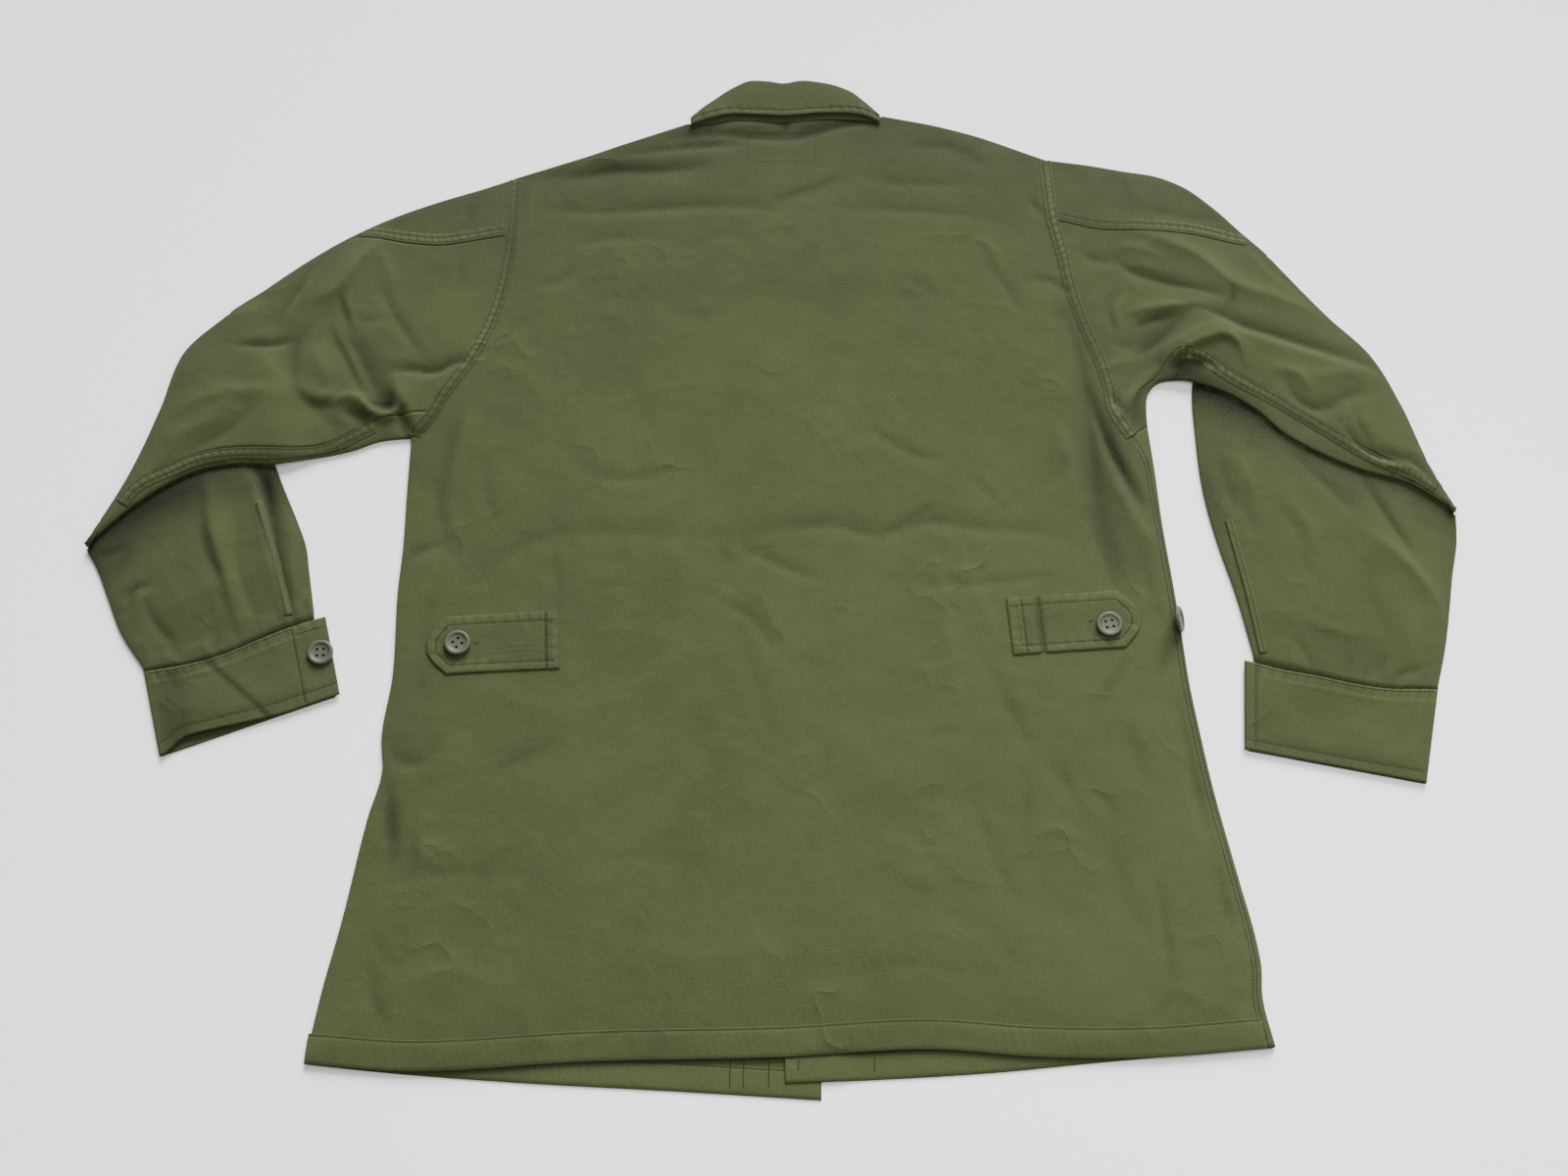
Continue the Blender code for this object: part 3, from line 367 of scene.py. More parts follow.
BODY_OUTLINE = joined(
    LEFT_SIDE, LEFT_SLEEVE["lower"], LEFT_SLEEVE["crease"][::-1],
    LEFT_SLEEVE["outer"][::-1], LEFT_SHOULDER, NECKLINE, RIGHT_SHOULDER,
    RIGHT_SLEEVE["outer"], RIGHT_SLEEVE["crease"], RIGHT_SLEEVE["lower"][::-1],
    RIGHT_SIDE[::-1], BACK_HEM[::-1],
)
print("outline points:", len(BODY_OUTLINE))

# %% [markdown]
# ## Folds
# Worn cotton keeps creases: long soft ones where it was folded, short sharp ones at the
# elbow and the armpit. They could be sculpted or simulated, but each one here is placed one
# by one, so each is a row in a table: the way it runs as x, y, x, y and so on, its height,
# and how wide it is on its left and on its right. A narrow side is steep and catches the
# light, a wide one is soft. A height below zero makes a trough.

# %% One fold, and many
def along_way(way, x, y):
    """For each point: how far along a smooth way its nearest point is, as a share, and
    the distance to it, above zero on the way's left."""
    path = points_at(smooth(way), np.linspace(0, length(smooth(way)), 9 * len(way)))
    ax, ay = path[:-1].T
    dx, dy = np.diff(path, axis=0).T
    px, py = x[:, None] - ax, y[:, None] - ay
    t = np.clip((px * dx + py * dy) / (dx**2 + dy**2), 0, 1)
    gap = np.hypot(px - t * dx, py - t * dy)
    k = gap.argmin(axis=1)
    row = np.arange(len(k))
    side = np.sign(dx[k] * py[row, k] - dy[k] * px[row, k])
    return (k + t[row, k]) / len(ax), gap[row, k] * side


def gap_to(way, x, y):
    return np.abs(along_way(way, np.ravel(x), np.ravel(y))[1]).reshape(np.shape(x))


def folds_at(folds, x, y):
    """Sum of the folds' heights: each swells along its way from little to its full height
    and back. Across it the height falls as the cube of the distance left, to nothing at
    three widths of that side, so the crest is a crease and the feet are soft."""
    flat_x, flat_y = np.ravel(x), np.ravel(y)
    total = np.zeros(len(flat_x))
    for numbers, height, left, right in folds:
        way = np.reshape(numbers, (-1, 2))
        low, high = np.min(way, axis=0), np.max(way, axis=0)
        reach = 3 * max(left, right)
        near = np.flatnonzero(
            (flat_x > low[0] - reach) & (flat_x < high[0] + reach)
            & (flat_y > low[1] - reach) & (flat_y < high[1] + reach))
        if not len(near):
            continue
        share, gap = along_way(way, flat_x[near], flat_y[near])
        swell = np.sin(np.pi * (0.02 + 0.96 * share)) ** 0.7
        width = np.where(gap > 0, left, right)
        off = np.hypot(gap / width, 0.15) - 0.15
        total[near] += height * swell * np.maximum(1 - off / 3, 0) ** 3
    return total.reshape(np.shape(x))


def waves(x, y, size, seed, count=9):
    """A smooth uneven field from -1 to 1 or so: the sum of cosine waves about as long as
    size, each in its own direction."""
    pick = np.random.default_rng(seed)
    turn_to, phase = pick.uniform(0, math.tau, (2, count))
    number = math.tau / (size * pick.uniform(0.7, 1.5, count))
    field = np.zeros(np.shape(x))
    for a, p, k in zip(turn_to, phase, number):
        field += np.cos((x * math.cos(a) + y * math.sin(a)) * k + p)
    return field / math.sqrt(count)


# %% Folds of the back
BACK_FOLDS = (
    ((18, 349, 34, 353, 59, 360, 78, 363), -1.7, 5, 2.5),
    ((-77, 336, -50, 339, -24, 340), -1.1, 3, 3),
    ((-77, 346, -60, 348, -40, 350), -1.2, 5, 5),
    ((238, 123, 245, 93, 253, 69, 263, 50, 275, 21), -5.5, 3, 5),
    ((233, 119, 243, 83, 254, 46, 267, 15, 288, -15), 3, 4, 7),
    ((221, 188, 231, 153, 235, 119, 238, 70, 240, 23, 251, -20, 257, -40), -3.2, 5, 7),
    ((212, 95, 220, 62, 224, 23), 1.4, 5, 6),
    ((234, 23, 238, 3, 244, -18, 249, -43), -2.2, 3, 4),
    ((269, -9, 273, -32, 277, -55, 284, -72), -1.6, 4, 6),
    ((284, -74, 281, -94, 275, -113), -2, 2.5, 4),
    ((258, -93, 242, -115, 228, -142), -1.4, 3, 4),
    ((289, -124, 293, -155, 299, -198, 306, -235), -3.4, 3, 4),
    ((309, -242, 310, -268, 315, -295), -2.2, 3, 5),
    ((266, -252, 268, -288, 271, -328), -1.8, 2.5, 3),
    ((271, -329, 265, -344, 258, -353), -1, 3, 3),
    ((273, -329, 287, -337, 294, -350), 1, 3, 4),
    ((231, -219, 239, -251, 246, -278, 260, -305), -1.2, 6, 9),
    ((197, -172, 207, -190, 217, -209), -1.3, 4, 6),
    ((222, -190, 235, -203, 238, -220), -1.3, 4, 5),
    ((178, -179, 177, -202, 174, -224), -1.1, 3, 3),
    ((183, -219, 202, -222, 220, -230), 0.9, 3, 3),
    ((141, -200, 147, -223, 156, -251, 173, -273), -1, 5, 4),
    ((140, -284, 155, -302, 169, -317), -0.7, 4, 4),
    ((155, -99, 168, -130, 183, -165), -1.4, 4, 6),
    ((249, -143, 258, -173, 262, -196), -1.3, 6, 6),
    ((121, -15, 126, -70, 133, -131), 0.9, 4, 5),
    ((135, -7, 152, -53, 164, -87), 0.9, 4, 6),
    ((-238, -64, -219, -41, -200, -18, -168, 0, -128, 4, -92, 3, -60, 1, -29, 2), -1.0, 8, 7),
    ((-31, 1, 8, 8, 44, 9, 80, 2, 114, 12, 152, 7, 195, 3, 226, -6), -1.5, 8, 4),
    ((-279, -22, -261, -11, -241, -3), -2.2, 4, 4),
    ((-234, 99, -242, 66, -247, 38, -244, 15, -237, -9), -2.6, 4, 7),
    ((-228, 103, -233, 78, -238, 50), 1.4, 5, 4),
    ((-213, 64, -210, 34, -202, -3), -1, 3, 4),
    ((-151, 82, -145, 62, -141, 50), -0.6, 3, 3),
    ((-165, 26, -162, 13, -162, 1), -0.9, 3, 3),
    ((-161, -3, -157, -40, -157, -62), -1, 3, 3),
    ((-139, 56, -119, 47, -92, 50, -65, 58), -1, 6, 4),
    ((-39, 1, -36, -10, -35, -24), -1, 3, 3),
    ((-29, -3, 1, -20, 36, -35), -1.5, 6, 3),
    ((-34, -53, -17, -62, 2, -88), -1.4, 5, 3),
    ((-244, -38, -251, -62, -256, -91), -1.6, 4, 4),
    ((-251, -103, -252, -115, -253, -127), -1, 4, 4),
    ((70, 91, 88, 78, 110, 66, 132, 62), -1.2, 3, 4),
    ((49, 69, 65, 73, 81, 74), 0.7, 3, 3),
    ((80, 3, 102, 15, 125, 32), -0.9, 3, 3),
    ((142, 56, 156, 38, 171, 21), -0.9, 3, 4),
    ((208, 45, 216, 56, 221, 66), -1, 3, 3),
    ((106, -38, 150, -37, 202, -30), -1.1, 5, 3),
    ((110, -152, 120, -150, 131, -148), -0.7, 3, 3),
    ((-23, -55, -14, -107, 1, -162), -0.7, 7, 7),
    ((-137, -42, -120, -39, -102, -37), -0.6, 3, 3),
    ((-275, -153, -262, -170, -247, -171, -234, -153), -1.8, 6, 5),
    ((-273, -177, -267, -200, -263, -223, -264, -251), -4, 2.5, 5),
    ((-272, -295, -263, -309, -256, -319), -0.9, 3, 4),
    ((-274, -312, -269, -339, -260, -360), -1.6, 5, 4),
    ((-200, -186, -183, -172, -159, -160, -153, -146), -1.2, 5, 8),
    ((-249, -217, -251, -237, -251, -261), -1, 5, 4),
    ((-240, -212, -241, -231, -241, -254), 0.9, 4, 4),
    ((-262, -331, -224, -319, -175, -329), 0.8, 9, 7),
    ((-275, -259, -228, -251, -152, -255), -0.8, 11, 8),
    ((-130, -245, -73, -240, -29, -252), -0.6, 10, 8),
    ((23, -205, 26, -223, 23, -242), -0.8, 3, 3),
    ((-178, 312, -154, 312, -123, 316, -91, 315, -49, 319), -3.4, 5, 6),
    ((-185, 279, -145, 277, -99, 278, -53, 281, 13, 277), -1.9, 7, 3),
    ((-156, 247, -114, 253, -86, 249), -1.1, 9, 4),
    ((-120, 330, -77, 336, -20, 340), -2.2, 4, 3),
    ((-88, 343, -58, 350, -15, 346, 17, 346, 47, 355, 82, 362), -3.4, 5, 3),
    ((4, 365, 9, 356, 2, 346), -2.2, 3, 3),
    ((-42, 355, -18, 360, 0, 357), 1.6, 4, 4),
    ((11, 358, 31, 362, 56, 362), 1.6, 4, 3),
    ((-3, 285, 23, 295, 59, 310), -1.7, 3, 8),
    ((105, 336, 136, 338, 171, 316), -1.5, 5, 8),
    ((60, 309, 100, 302, 159, 304), -1, 5, 4),
    ((43, 280, 84, 278, 126, 275, 168, 271), -1.2, 6, 4),
    ((201, 291, 204, 282, 209, 273), -1.4, 2.5, 3),
    ((207, 327, 209, 300, 207, 278), 1.2, 2.5, 3),
    ((164, 233, 181, 205, 193, 180), -1.1, 5, 6),
    ((158, 254, 170, 240, 174, 222), 0.8, 3, 3),
    ((103, 219, 113, 212, 124, 200), -0.7, 3, 3),
    ((195, 216, 213, 214, 229, 202), -1.2, 3, 3),
    ((-186, 210, -165, 215, -149, 231), -0.9, 4, 4),
    ((-187, 310, -189, 284, -190, 255), 1, 3, 3),
    ((-69, 241, -39, 255, -19, 250), -0.6, 4, 4),
    ((-112, 203, -67, 186, -22, 188), -0.5, 8, 8),
    ((-215, -115, -159, -130, -103, -124), 0.6, 10, 8),
    ((-112, -298, -58, -309, 8, -302), 0.6, 10, 9),
    ((41, -325, 101, -315, 147, -325), -0.7, 9, 7),
    ((-103, 119, -51, 126, 8, 115), 0.5, 10, 8),
)

# %% Folds of the upper arms
LEFT_ARM_FOLDS = (
    ((-304, 253, -320, 232, -335, 207, -353, 199), 4.6, 7, 12),
    ((-333, 205, -328, 186, -321, 171), -2.2, 2.5, 3),
    ((-328, 205, -323, 189, -318, 175), 1.6, 2.5, 2.5),
    ((-340, 173, -326, 153, -314, 130, -302, 113), -3, 3, 4),
    ((-332, 172, -319, 148, -307, 125, -297, 110), 1.8, 2.5, 2.5),
    ((-327, 169, -314, 147, -303, 125, -292, 108), -3.6, 9, 3),
    ((-352, 175, -361, 161, -364, 141, -360, 118), -2.6, 3, 8),
    ((-350, 161, -343, 144, -334, 128), 2.4, 7, 7),
    ((-361, 121, -345, 111, -327, 109), -2.8, 3, 7),
    ((-359, 125, -343, 116, -327, 119), 2, 6, 4),
    ((-407, 159, -387, 159, -365, 163), -3.8, 3, 2.5),
    ((-391, 156, -376, 136, -363, 118), 1.4, 6, 8),
    ((-355, 231, -365, 209, -375, 189, -381, 164), -1.4, 3, 3),
    ((-350, 228, -360, 205, -371, 185, -376, 164), 1.2, 4, 3),
    ((-418, 183, -405, 188, -390, 190), 1.6, 8, 8),
    ((-451, 101, -428, 114, -405, 119, -383, 119, -358, 114), 1.4, 8, 5),
    ((-397, 118, -394, 102, -405, 88, -425, 75, -438, 68), -1.9, 5, 7),
    ((-455, 80, -430, 90, -408, 102), 0.9, 6, 6),
    ((-306, 215, -295, 197, -287, 180, -275, 162), -1.6, 2.5, 3),
    ((-288, 185, -274, 161, -257, 139), -1.1, 3, 3),
    ((-327, 185, -310, 180, -292, 184), -1, 3, 3),
    ((-305, 245, -298, 229, -291, 210), 1.2, 4, 4),
    ((-241, 238, -241, 223, -240, 207), -0.9, 2.5, 3),
    ((-237, 286, -237, 269, -238, 254), -1.2, 2.5, 3),
    ((-330, 112, -321, 117, -312, 115, -305, 107, -295, 101, -287, 101, -282, 108, -283, 117,
      -287, 125, -287, 134), 5.2, 2.6, 2.6),
    ((-305, 116, -296, 109, -289, 110, -288, 119), -3.4, 3, 3),
    ((-325, 108, -314, 101, -304, 93), -4, 4, 3.5),
    ((-291, 138, -273, 138, -254, 137, -244, 143, -229, 146), -3.6, 5, 2.2),
    ((-283, 111, -278, 97, -271, 78), -5.5, 2.5, 3),
    ((-286, 133, -279, 114, -266, 85), 3.4, 14, 2),
    ((-249, 138, -250, 126, -254, 115), 1, 3, 3),
    ((-346, 108, -331, 95, -319, 82), -2, 5, 6),
    ((-272, 245, -260, 234, -241, 229), 0.7, 4, 4),
    ((-413, 134, -394, 128, -375, 129), -0.8, 5, 5),
)
RIGHT_ARM_FOLDS = (
    ((270, 262, 300, 252, 329, 236, 352, 211, 383, 200, 421, 184), 3.3, 9, 7),
    ((308, 198, 344, 182, 357, 175, 380, 167, 416, 154, 455, 140), -3.3, 6, 3.5),
    ((326, 187, 354, 169, 380, 160, 416, 147, 452, 135), 1.8, 3, 9),
    ((269, 201, 262, 191, 263, 174), 1.8, 3, 3),
    ((263, 205, 257, 190, 260, 171), -1.8, 3, 4),
    ((271, 189, 296, 192, 320, 194, 339, 186), 3, 6, 4),
    ((275, 175, 290, 182, 307, 186), -2.4, 3, 5),
    ((272, 149, 294, 164, 309, 179, 320, 193), -3.2, 7, 3),
    ((287, 149, 305, 160, 325, 171, 345, 176), 2.2, 4, 5),
    ((294, 147, 311, 155, 329, 163, 343, 166, 352, 159, 355, 147), 4.6, 6, 2.5),
    ((300, 140, 315, 147, 335, 140), -6, 3, 5),
    ((262, 237, 272, 226, 293, 217, 325, 208, 347, 199), -3, 5, 5),
    ((264, 246, 281, 244, 300, 236), 1.2, 4, 4),
    ((353, 211, 350, 196, 343, 182), -2.2, 2.5, 3),
    ((385, 130, 394, 112, 408, 104, 429, 113, 449, 120), -2.6, 5, 4),
    ((375, 139, 396, 134, 404, 119), 1.8, 4, 4),
    ((399, 131, 429, 135, 454, 135), 1.6, 5, 7),
    ((425, 89, 445, 67, 472, 62, 490, 46), -3.8, 5, 2.5),
    ((434, 73, 451, 59, 472, 55, 486, 44), 1.8, 2.5, 4),
    ((434, 111, 437, 93, 445, 72), -1.2, 3, 3),
    ((299, 150, 283, 131, 269, 115, 257, 98), 4, 5, 4),
    ((280, 127, 273, 109, 270, 91), -3.2, 3, 3),
    ((293, 152, 290, 137, 281, 125), -2, 2.5, 2.5),
    ((254, 122, 258, 111, 265, 102), -2.4, 3, 3),
    ((277, 152, 261, 145, 246, 137), 1.4, 4, 4),
    ((235, 242, 246, 235, 263, 232), -1.5, 4, 4),
    ((275, 308, 277, 288, 273, 264), -1, 3, 3),
    ((284, 280, 313, 274, 345, 271), -1, 5, 3),
    ((364, 246, 384, 216, 405, 199), 0.9, 5, 5),
    ((297, 255, 284, 236, 289, 224), 0.8, 4, 4),
    ((254, 165, 268, 160, 283, 165), -1, 4, 4),
)

# %% Folds of the forearms
LEFT_FOREARM_FOLDS = (
    ((-424, 67, -418, 41, -415, 16, -406, -11, -397, -34, -389, -58, -381, -76), 3, 13, 3),
    ((-398, 67, -388, 52, -380, 32, -372, 8, -362, -23, -350, -64), 4.2, 2.5, 9),
    ((-387, 67, -377, 40, -370, 8, -358, -31, -346, -64), -4, 3, 2.5),
    ((-378, 64, -374, 40, -369, 14), -3, 5, 3),
    ((-367, 52, -353, 8, -349, -29, -345, -48), 2, 5, 5),
    ((-337, -37, -342, -51, -349, -59), 1.8, 3, 3),
    ((-340, -46, -337, -55, -332, -61), -2.2, 2.5, 2.5),
    ((-391, 12, -390, -23, -381, -46, -369, -70), -1.2, 5, 4),
    ((-422, 12, -413, -14, -400, -34), -1.8, 5, 5),
    ((-475, -60, -467, -55, -466, -42, -451, -35), -2, 3.5, 4),
    ((-460, -63, -459, -48, -447, -41), 1, 3, 3),
    ((-455, -51, -444, -69, -433, -80, -423, -94), -2.2, 4, 3.5),
    ((-471, -4, -474, -21, -483, -40), -1.3, 5, 4),
    ((-422, -90, -412, -82, -403, -90), 1.2, 3, 3),
    ((-400, -66, -401, -80, -402, -91), -1.2, 3, 3),
    ((-457, -76, -449, -87, -447, -96), 1, 3, 3),
    ((-447, -7, -437, -38, -424, -61), 0.8, 7, 7),
    ((-500, -7, -486, -12, -476, -6), -1.6, 3, 4),
)
RIGHT_FOREARM_FOLDS = (
    ((380, 78, 407, 45, 429, 19), -1.6, 6, 3),
    ((437, 56, 445, 32, 457, 8, 469, -15), -2.4, 3, 4),
    ((435, 8, 465, -23, 480, -48, 486, -69), 2.8, 7, 7),
    ((370, 30, 384, 8, 389, -12), -1.2, 4, 4),
    ((385, 24, 394, 8, 399, -9), 1, 4, 3),
    ((384, -7, 394, -34), -0.9, 4, 4),
    ((372, -61, 390, -65, 410, -73, 434, -77), 1, 4, 3),
    ((376, -76, 383, -90, 390, -106), -1.2, 3, 3),
    ((354, 51, 349, 28, 354, 2), -1.4, 3, 4),
    ((333, 68, 337, 41, 343, 21), -2.6, 5, 5),
    ((346, 67, 351, 51, 354, 37), 1.6, 3.5, 3.5),
    ((433, -14, 434, -52, 446, -80), -1, 7, 7),
    ((467, -55, 460, -75, 463, -99), 0.9, 4, 4),
    ((440, -90, 435, -103, 439, -114), -2, 2.5, 3),
    ((464, -100, 448, -106, 440, -117), -1.8, 3, 2.5),
    ((415, -90, 411, -102, 411, -112), -1.4, 2.5, 3),
    ((426, -96, 423, -105, 423, -114), -1.2, 2.5, 2.5),
    ((394, -96, 402, -105, 407, -112), -1, 3, 2.5),
    ((474, -94, 467, -106, 468, -117), -1.2, 2.5, 2.5),
)
FOREARM_FOLDS = {"left": LEFT_FOREARM_FOLDS, "right": RIGHT_FOREARM_FOLDS}
ARM_FOLDS = {"left": LEFT_ARM_FOLDS, "right": RIGHT_ARM_FOLDS}
BODY_FOLDS = BACK_FOLDS + LEFT_ARM_FOLDS + RIGHT_ARM_FOLDS
print("folds placed by hand:", len(BODY_FOLDS) + sum(map(len, FOREARM_FOLDS.values())))

# %% Gathers at the wrists
def gathers(seam, side_sign, seed):
    """Short ridges that run from a cuff's seam up the forearm, where its fullness is
    eased into the cuff: an uneven row of them, each some way off square."""
    pick = np.random.default_rng(seed)
    path = smooth(seam)
    at = np.cumsum(pick.uniform(5.0, 11.0, 24))
    at = at[at < length(path) - 6]
    base = points_at(path, at)
    up = normals(path, left=side_sign > 0)[0]
    rows = []
    for place in base:
        tip = place + up * pick.uniform(9, 22) + (pick.uniform(-5, 5), 0)
        rows.append(((*tip, *(place - up * 3)), pick.uniform(0.5, 1.1), 3.2, 2.6))
    return tuple(rows)


GATHERS = {"left": gathers(LEFT_SLEEVE["wrist"], -1, 4),
           "right": gathers(RIGHT_SLEEVE["wrist"], 1, 5)}

# %% [markdown]
# ## How high each layer lies
# The jacket is a stack of one millimetre layers. A sleeve or the torso is a tube pressed
# flat: an upper layer over a lower one, turning into each other at the sides. These
# functions give the height of the upper layers at any point. Seams, tabs and thread ask
# them too, so that everything sewn on follows the cloth below it.

# %% Levels
WALL, GAP = 1.0, 0.3
LAYER = WALL + GAP
FOLD = LAYER  # radius of the mid-surface at a folded edge
INSET = FOLD + WALL / 2  # from a folded edge to where its turn begins
TABLE = WALL / 2  # height of the lowest mid-surface
EDGE_TOP = TABLE + 2 * FOLD
LOFT, LOFT_REACH = 5.0, 28.0  # how high the cloth stands inland, and how soon
FOREARM_LOFT, FOREARM_REACH = 4.0, 22.0
FOLDS_REACH = 4.0  # folds die out this near to a folded edge
CREASE_RADIUS = (2 * EDGE_TOP + LAYER - 2 * TABLE) / 2
TURN_ANGLES = (67.5, 45.0, 22.5, 0.0, -22.5, -45.0, -67.5)
CREASE_ANGLES = tuple(range(75, -76, -15))


def leaf_rise(x, y):
    """An S-shaped step up over the collar's leaves, which lie under the fronts."""
    (low, high), (near, far) = LEAF_RISE_Y, LEAF_RISE_X
    across = 1 - soft((np.abs(x) - near) / (far - near))
    return LAYER * soft((y - low) / (high - low)) * across


def crumple(x, y):
    """Slight all-over unevenness: broad swells, and small ridges where a wave field
    changes sign."""
    small = 1 - np.minimum(np.abs(waves(x, y, 46, 12)) * 2.2, 1)
    patchy = soft(0.5 + 0.6 * waves(x, y, 150, 13))
    return 0.45 * waves(x, y, 120, 11) + 0.38 * small**2 * patchy


def above(rise, least=-0.8, ease=1.2):
    """A rise kept above the least one: near it the curve eases into a level line, so a
    deep trough keeps clear of the layer below."""
    return least + 0.5 * (rise - least + np.hypot(rise - least, ease))


def body_top(x, y):
    """Mid-surface height of the torso's and the upper arms' upper layer: the edge's
    height, a rise inland that levels off, and the folds, which die out at the edges."""
    inland = np.maximum(depth(BODY_OUTLINE, x, y) - INSET, 0)
    stand = LOFT * (1 - np.exp(-inland / LOFT_REACH))
    folds = folds_at(BODY_FOLDS, x, y) + crumple(x, y)
    rise = stand + folds * (1 - np.exp(-inland / FOLDS_REACH))
    return EDGE_TOP + leaf_rise(x, y) + above(rise)


def arm_lift(sleeve, x, y):
    """How far the upper arm is raised where the forearm lies under it."""
    outside = -depth(forearm_outline(sleeve), x, y)
    return (EDGE_TOP + LAYER - TABLE) * (1 - soft((outside - CROOK_MARGIN) / CROOK_RAMP))


def arm_top(sleeve, x, y):
    return arm_lift(sleeve, x, y) + body_top(x, y)


def forearm_top(sleeve, side, x, y):
    """Mid-surface height of the forearm's upper layer: flat under the upper arm, and
    coming down gently to the cuff's seam."""
    inland = np.maximum(depth(forearm_outline(sleeve, 40.0), x, y) - INSET, 0)
    to_cuff = gap_to(sleeve["wrist"], x, y)
    clear = soft((4 - depth(upper_arm_outline(sleeve), x, y)) / 24.0)
    folds = folds_at(FOREARM_FOLDS[side] + GATHERS[side], x, y) + crumple(x, y)
    rise = FOREARM_LOFT * (1 - np.exp(-inland / FOREARM_REACH)) * soft(to_cuff / 55)
    rise += folds * (1 - np.exp(-inland / FOLDS_REACH)) * (1 - np.exp(-to_cuff / 3.0))
    return EDGE_TOP + clear * above(rise)


# %% [markdown]
# ## Finishes
# Three finishes do for the whole jacket: washed olive cotton, the thread in its seams, and
# the buttons' plastic. The cotton's colour drifts slowly, as in cloth that has been washed
# often, and is paler where a seam or a hem stands proud, partly rubbing and partly painted
# highlight. Its weave is a pattern of sines on the piece's own UV map, which is laid out in
# metres, so the threads follow the cloth. A point attribute named tone carries painted
# shade and highlight with some rubbing: darker in troughs, seam grooves, puckers' valleys,
# along the top of the jacket and on the forearms beside the upper arms' edges, paler on
# crests and ridges.

# %% Node helpers
def new_material(name, colour, roughness):
    made = bpy.data.materials.new(name)
    made.use_nodes = True
    made.diffuse_color = (*colour, 1)
    shader = made.node_tree.nodes["Principled BSDF"]
    shader.inputs["Base Color"].default_value = (*colour, 1)
    shader.inputs["Roughness"].default_value = roughness
    return made, made.node_tree, shader


def node(tree, kind, **values):
    """A node with its settings and its inputs' values."""
    made = tree.nodes.new(kind)
    for key, value in values.items():
        if key in made.inputs:
            made.inputs[key].default_value = value
        else:
            setattr(made, key, value)
    return made


def maths(tree, operation, *values, clamp=False):
    """A maths node of the given operation on one to three values, each a number or another
    node's output.
    """
    made = tree.nodes.new("ShaderNodeMath")
    made.operation = operation
    made.use_clamp = clamp
    for socket, value in zip(made.inputs, values):
        if isinstance(value, (int, float)):
            socket.default_value = value
        else:
            tree.links.new(value, socket)
    return made.outputs[0]


def noise(tree, place, scale, detail=2.0, rough=0.5):
    made = node(tree, "ShaderNodeTexNoise", Scale=scale, Detail=detail, Roughness=rough)
    tree.links.new(place, made.inputs["Vector"])
    return made.outputs["Fac"]


def paint(tree, shader, colour, light):
    """The shader's colour: one colour times how light each place is."""
    scaled = node(tree, "ShaderNodeVectorMath", operation="SCALE")
    scaled.inputs[0].default_value = colour
    tree.links.new(light, scaled.inputs["Scale"])
    tree.links.new(scaled.outputs[0], shader.inputs["Base Color"])


# %% Cotton
COTTON = (0.0428, 0.0552, 0.0201)
YARN_PITCH = 0.00085
TONE_SHARE = 0.55  # how much of the colour a tone of one adds


def cotton(name, colour):
    """Woven cotton: colour times a slow mottle, a fine fleck and the tone attribute, which
    holds painted shade and highlight as well as rubbing; a bump of crossed sines for the
    yarns, noise for the fibres, a swell and a ripple, and here and there thin creases where a
    noise passes its middle value."""
    made, tree, shader = new_material(name, colour, 0.88)
    place = tree.nodes.new("ShaderNodeTexCoord").outputs["Object"]
    cloth_map = node(tree, "ShaderNodeUVMap", uv_map="cloth").outputs["UV"]
    tone = node(tree, "ShaderNodeAttribute", attribute_name="tone").outputs["Fac"]

    slow = noise(tree, place, 9.0, 3.0, 0.55)
    patch_of = noise(tree, place, 38.0, 3.0, 0.6)
    fleck = noise(tree, cloth_map, 620.0, 3.0, 0.75)
    light = maths(tree, "MULTIPLY_ADD", slow, 0.26, 0.87)
    for cloud, share in ((patch_of, 0.22), (fleck, 1.0)):
        light = maths(tree, "MULTIPLY_ADD", maths(tree, "SUBTRACT", cloud, 0.5), share, light)
    # The tone attribute adds painted shade and highlight, with some rubbing, to the colour.
    paint(tree, shader, colour, maths(tree, "MULTIPLY_ADD", tone, TONE_SHARE, light))

    parts = tree.nodes.new("ShaderNodeSeparateXYZ")
    tree.links.new(cloth_map, parts.inputs[0])
    number = math.tau / YARN_PITCH
    warp = maths(tree, "SINE", maths(tree, "MULTIPLY", parts.outputs["X"], number))
    weft = maths(tree, "SINE", maths(tree, "MULTIPLY", parts.outputs["Y"], number))
    yarns = maths(tree, "MULTIPLY", warp, weft)
    fibres = noise(tree, cloth_map, 2600.0, 2.0, 0.6)
    ridged = maths(tree, "ABSOLUTE", maths(tree, "SUBTRACT", noise(
        tree, place, 17.0, 2.0, 0.45), 0.5))
    sharp = maths(tree, "POWER", maths(tree, "SUBTRACT", 1.0, ridged, clamp=True), 22.0)
    here = maths(tree, "MULTIPLY", maths(tree, "SUBTRACT", noise(
        tree, place, 11.0, 2.0), 0.5, clamp=True), 5.0, clamp=True)
    creases = maths(tree, "MULTIPLY", sharp, here)
    swell = noise(tree, place, 34.0, 2.0, 0.45)
    ripple = noise(tree, place, 95.0, 2.0, 0.5)
    bump = None
    for height, strength, far in (
        (swell, 0.35, 0.0036), (ripple, 0.22, 0.0012), (creases, 0.7, 0.0013),
        (yarns, 0.4, 0.00011), (fibres, 0.6, 0.00011),
    ):
        made_bump = node(tree, "ShaderNodeBump", Strength=strength, Distance=far)
        tree.links.new(height, made_bump.inputs["Height"])
        if bump:
            tree.links.new(bump.outputs[0], made_bump.inputs["Normal"])
        bump = made_bump
    tree.links.new(bump.outputs[0], shader.inputs["Normal"])
    shader.inputs["Sheen Weight"].default_value = 0.04
    shader.inputs["Sheen Roughness"].default_value = 0.5
    shader.inputs["Specular IOR Level"].default_value = 0.15
    return made


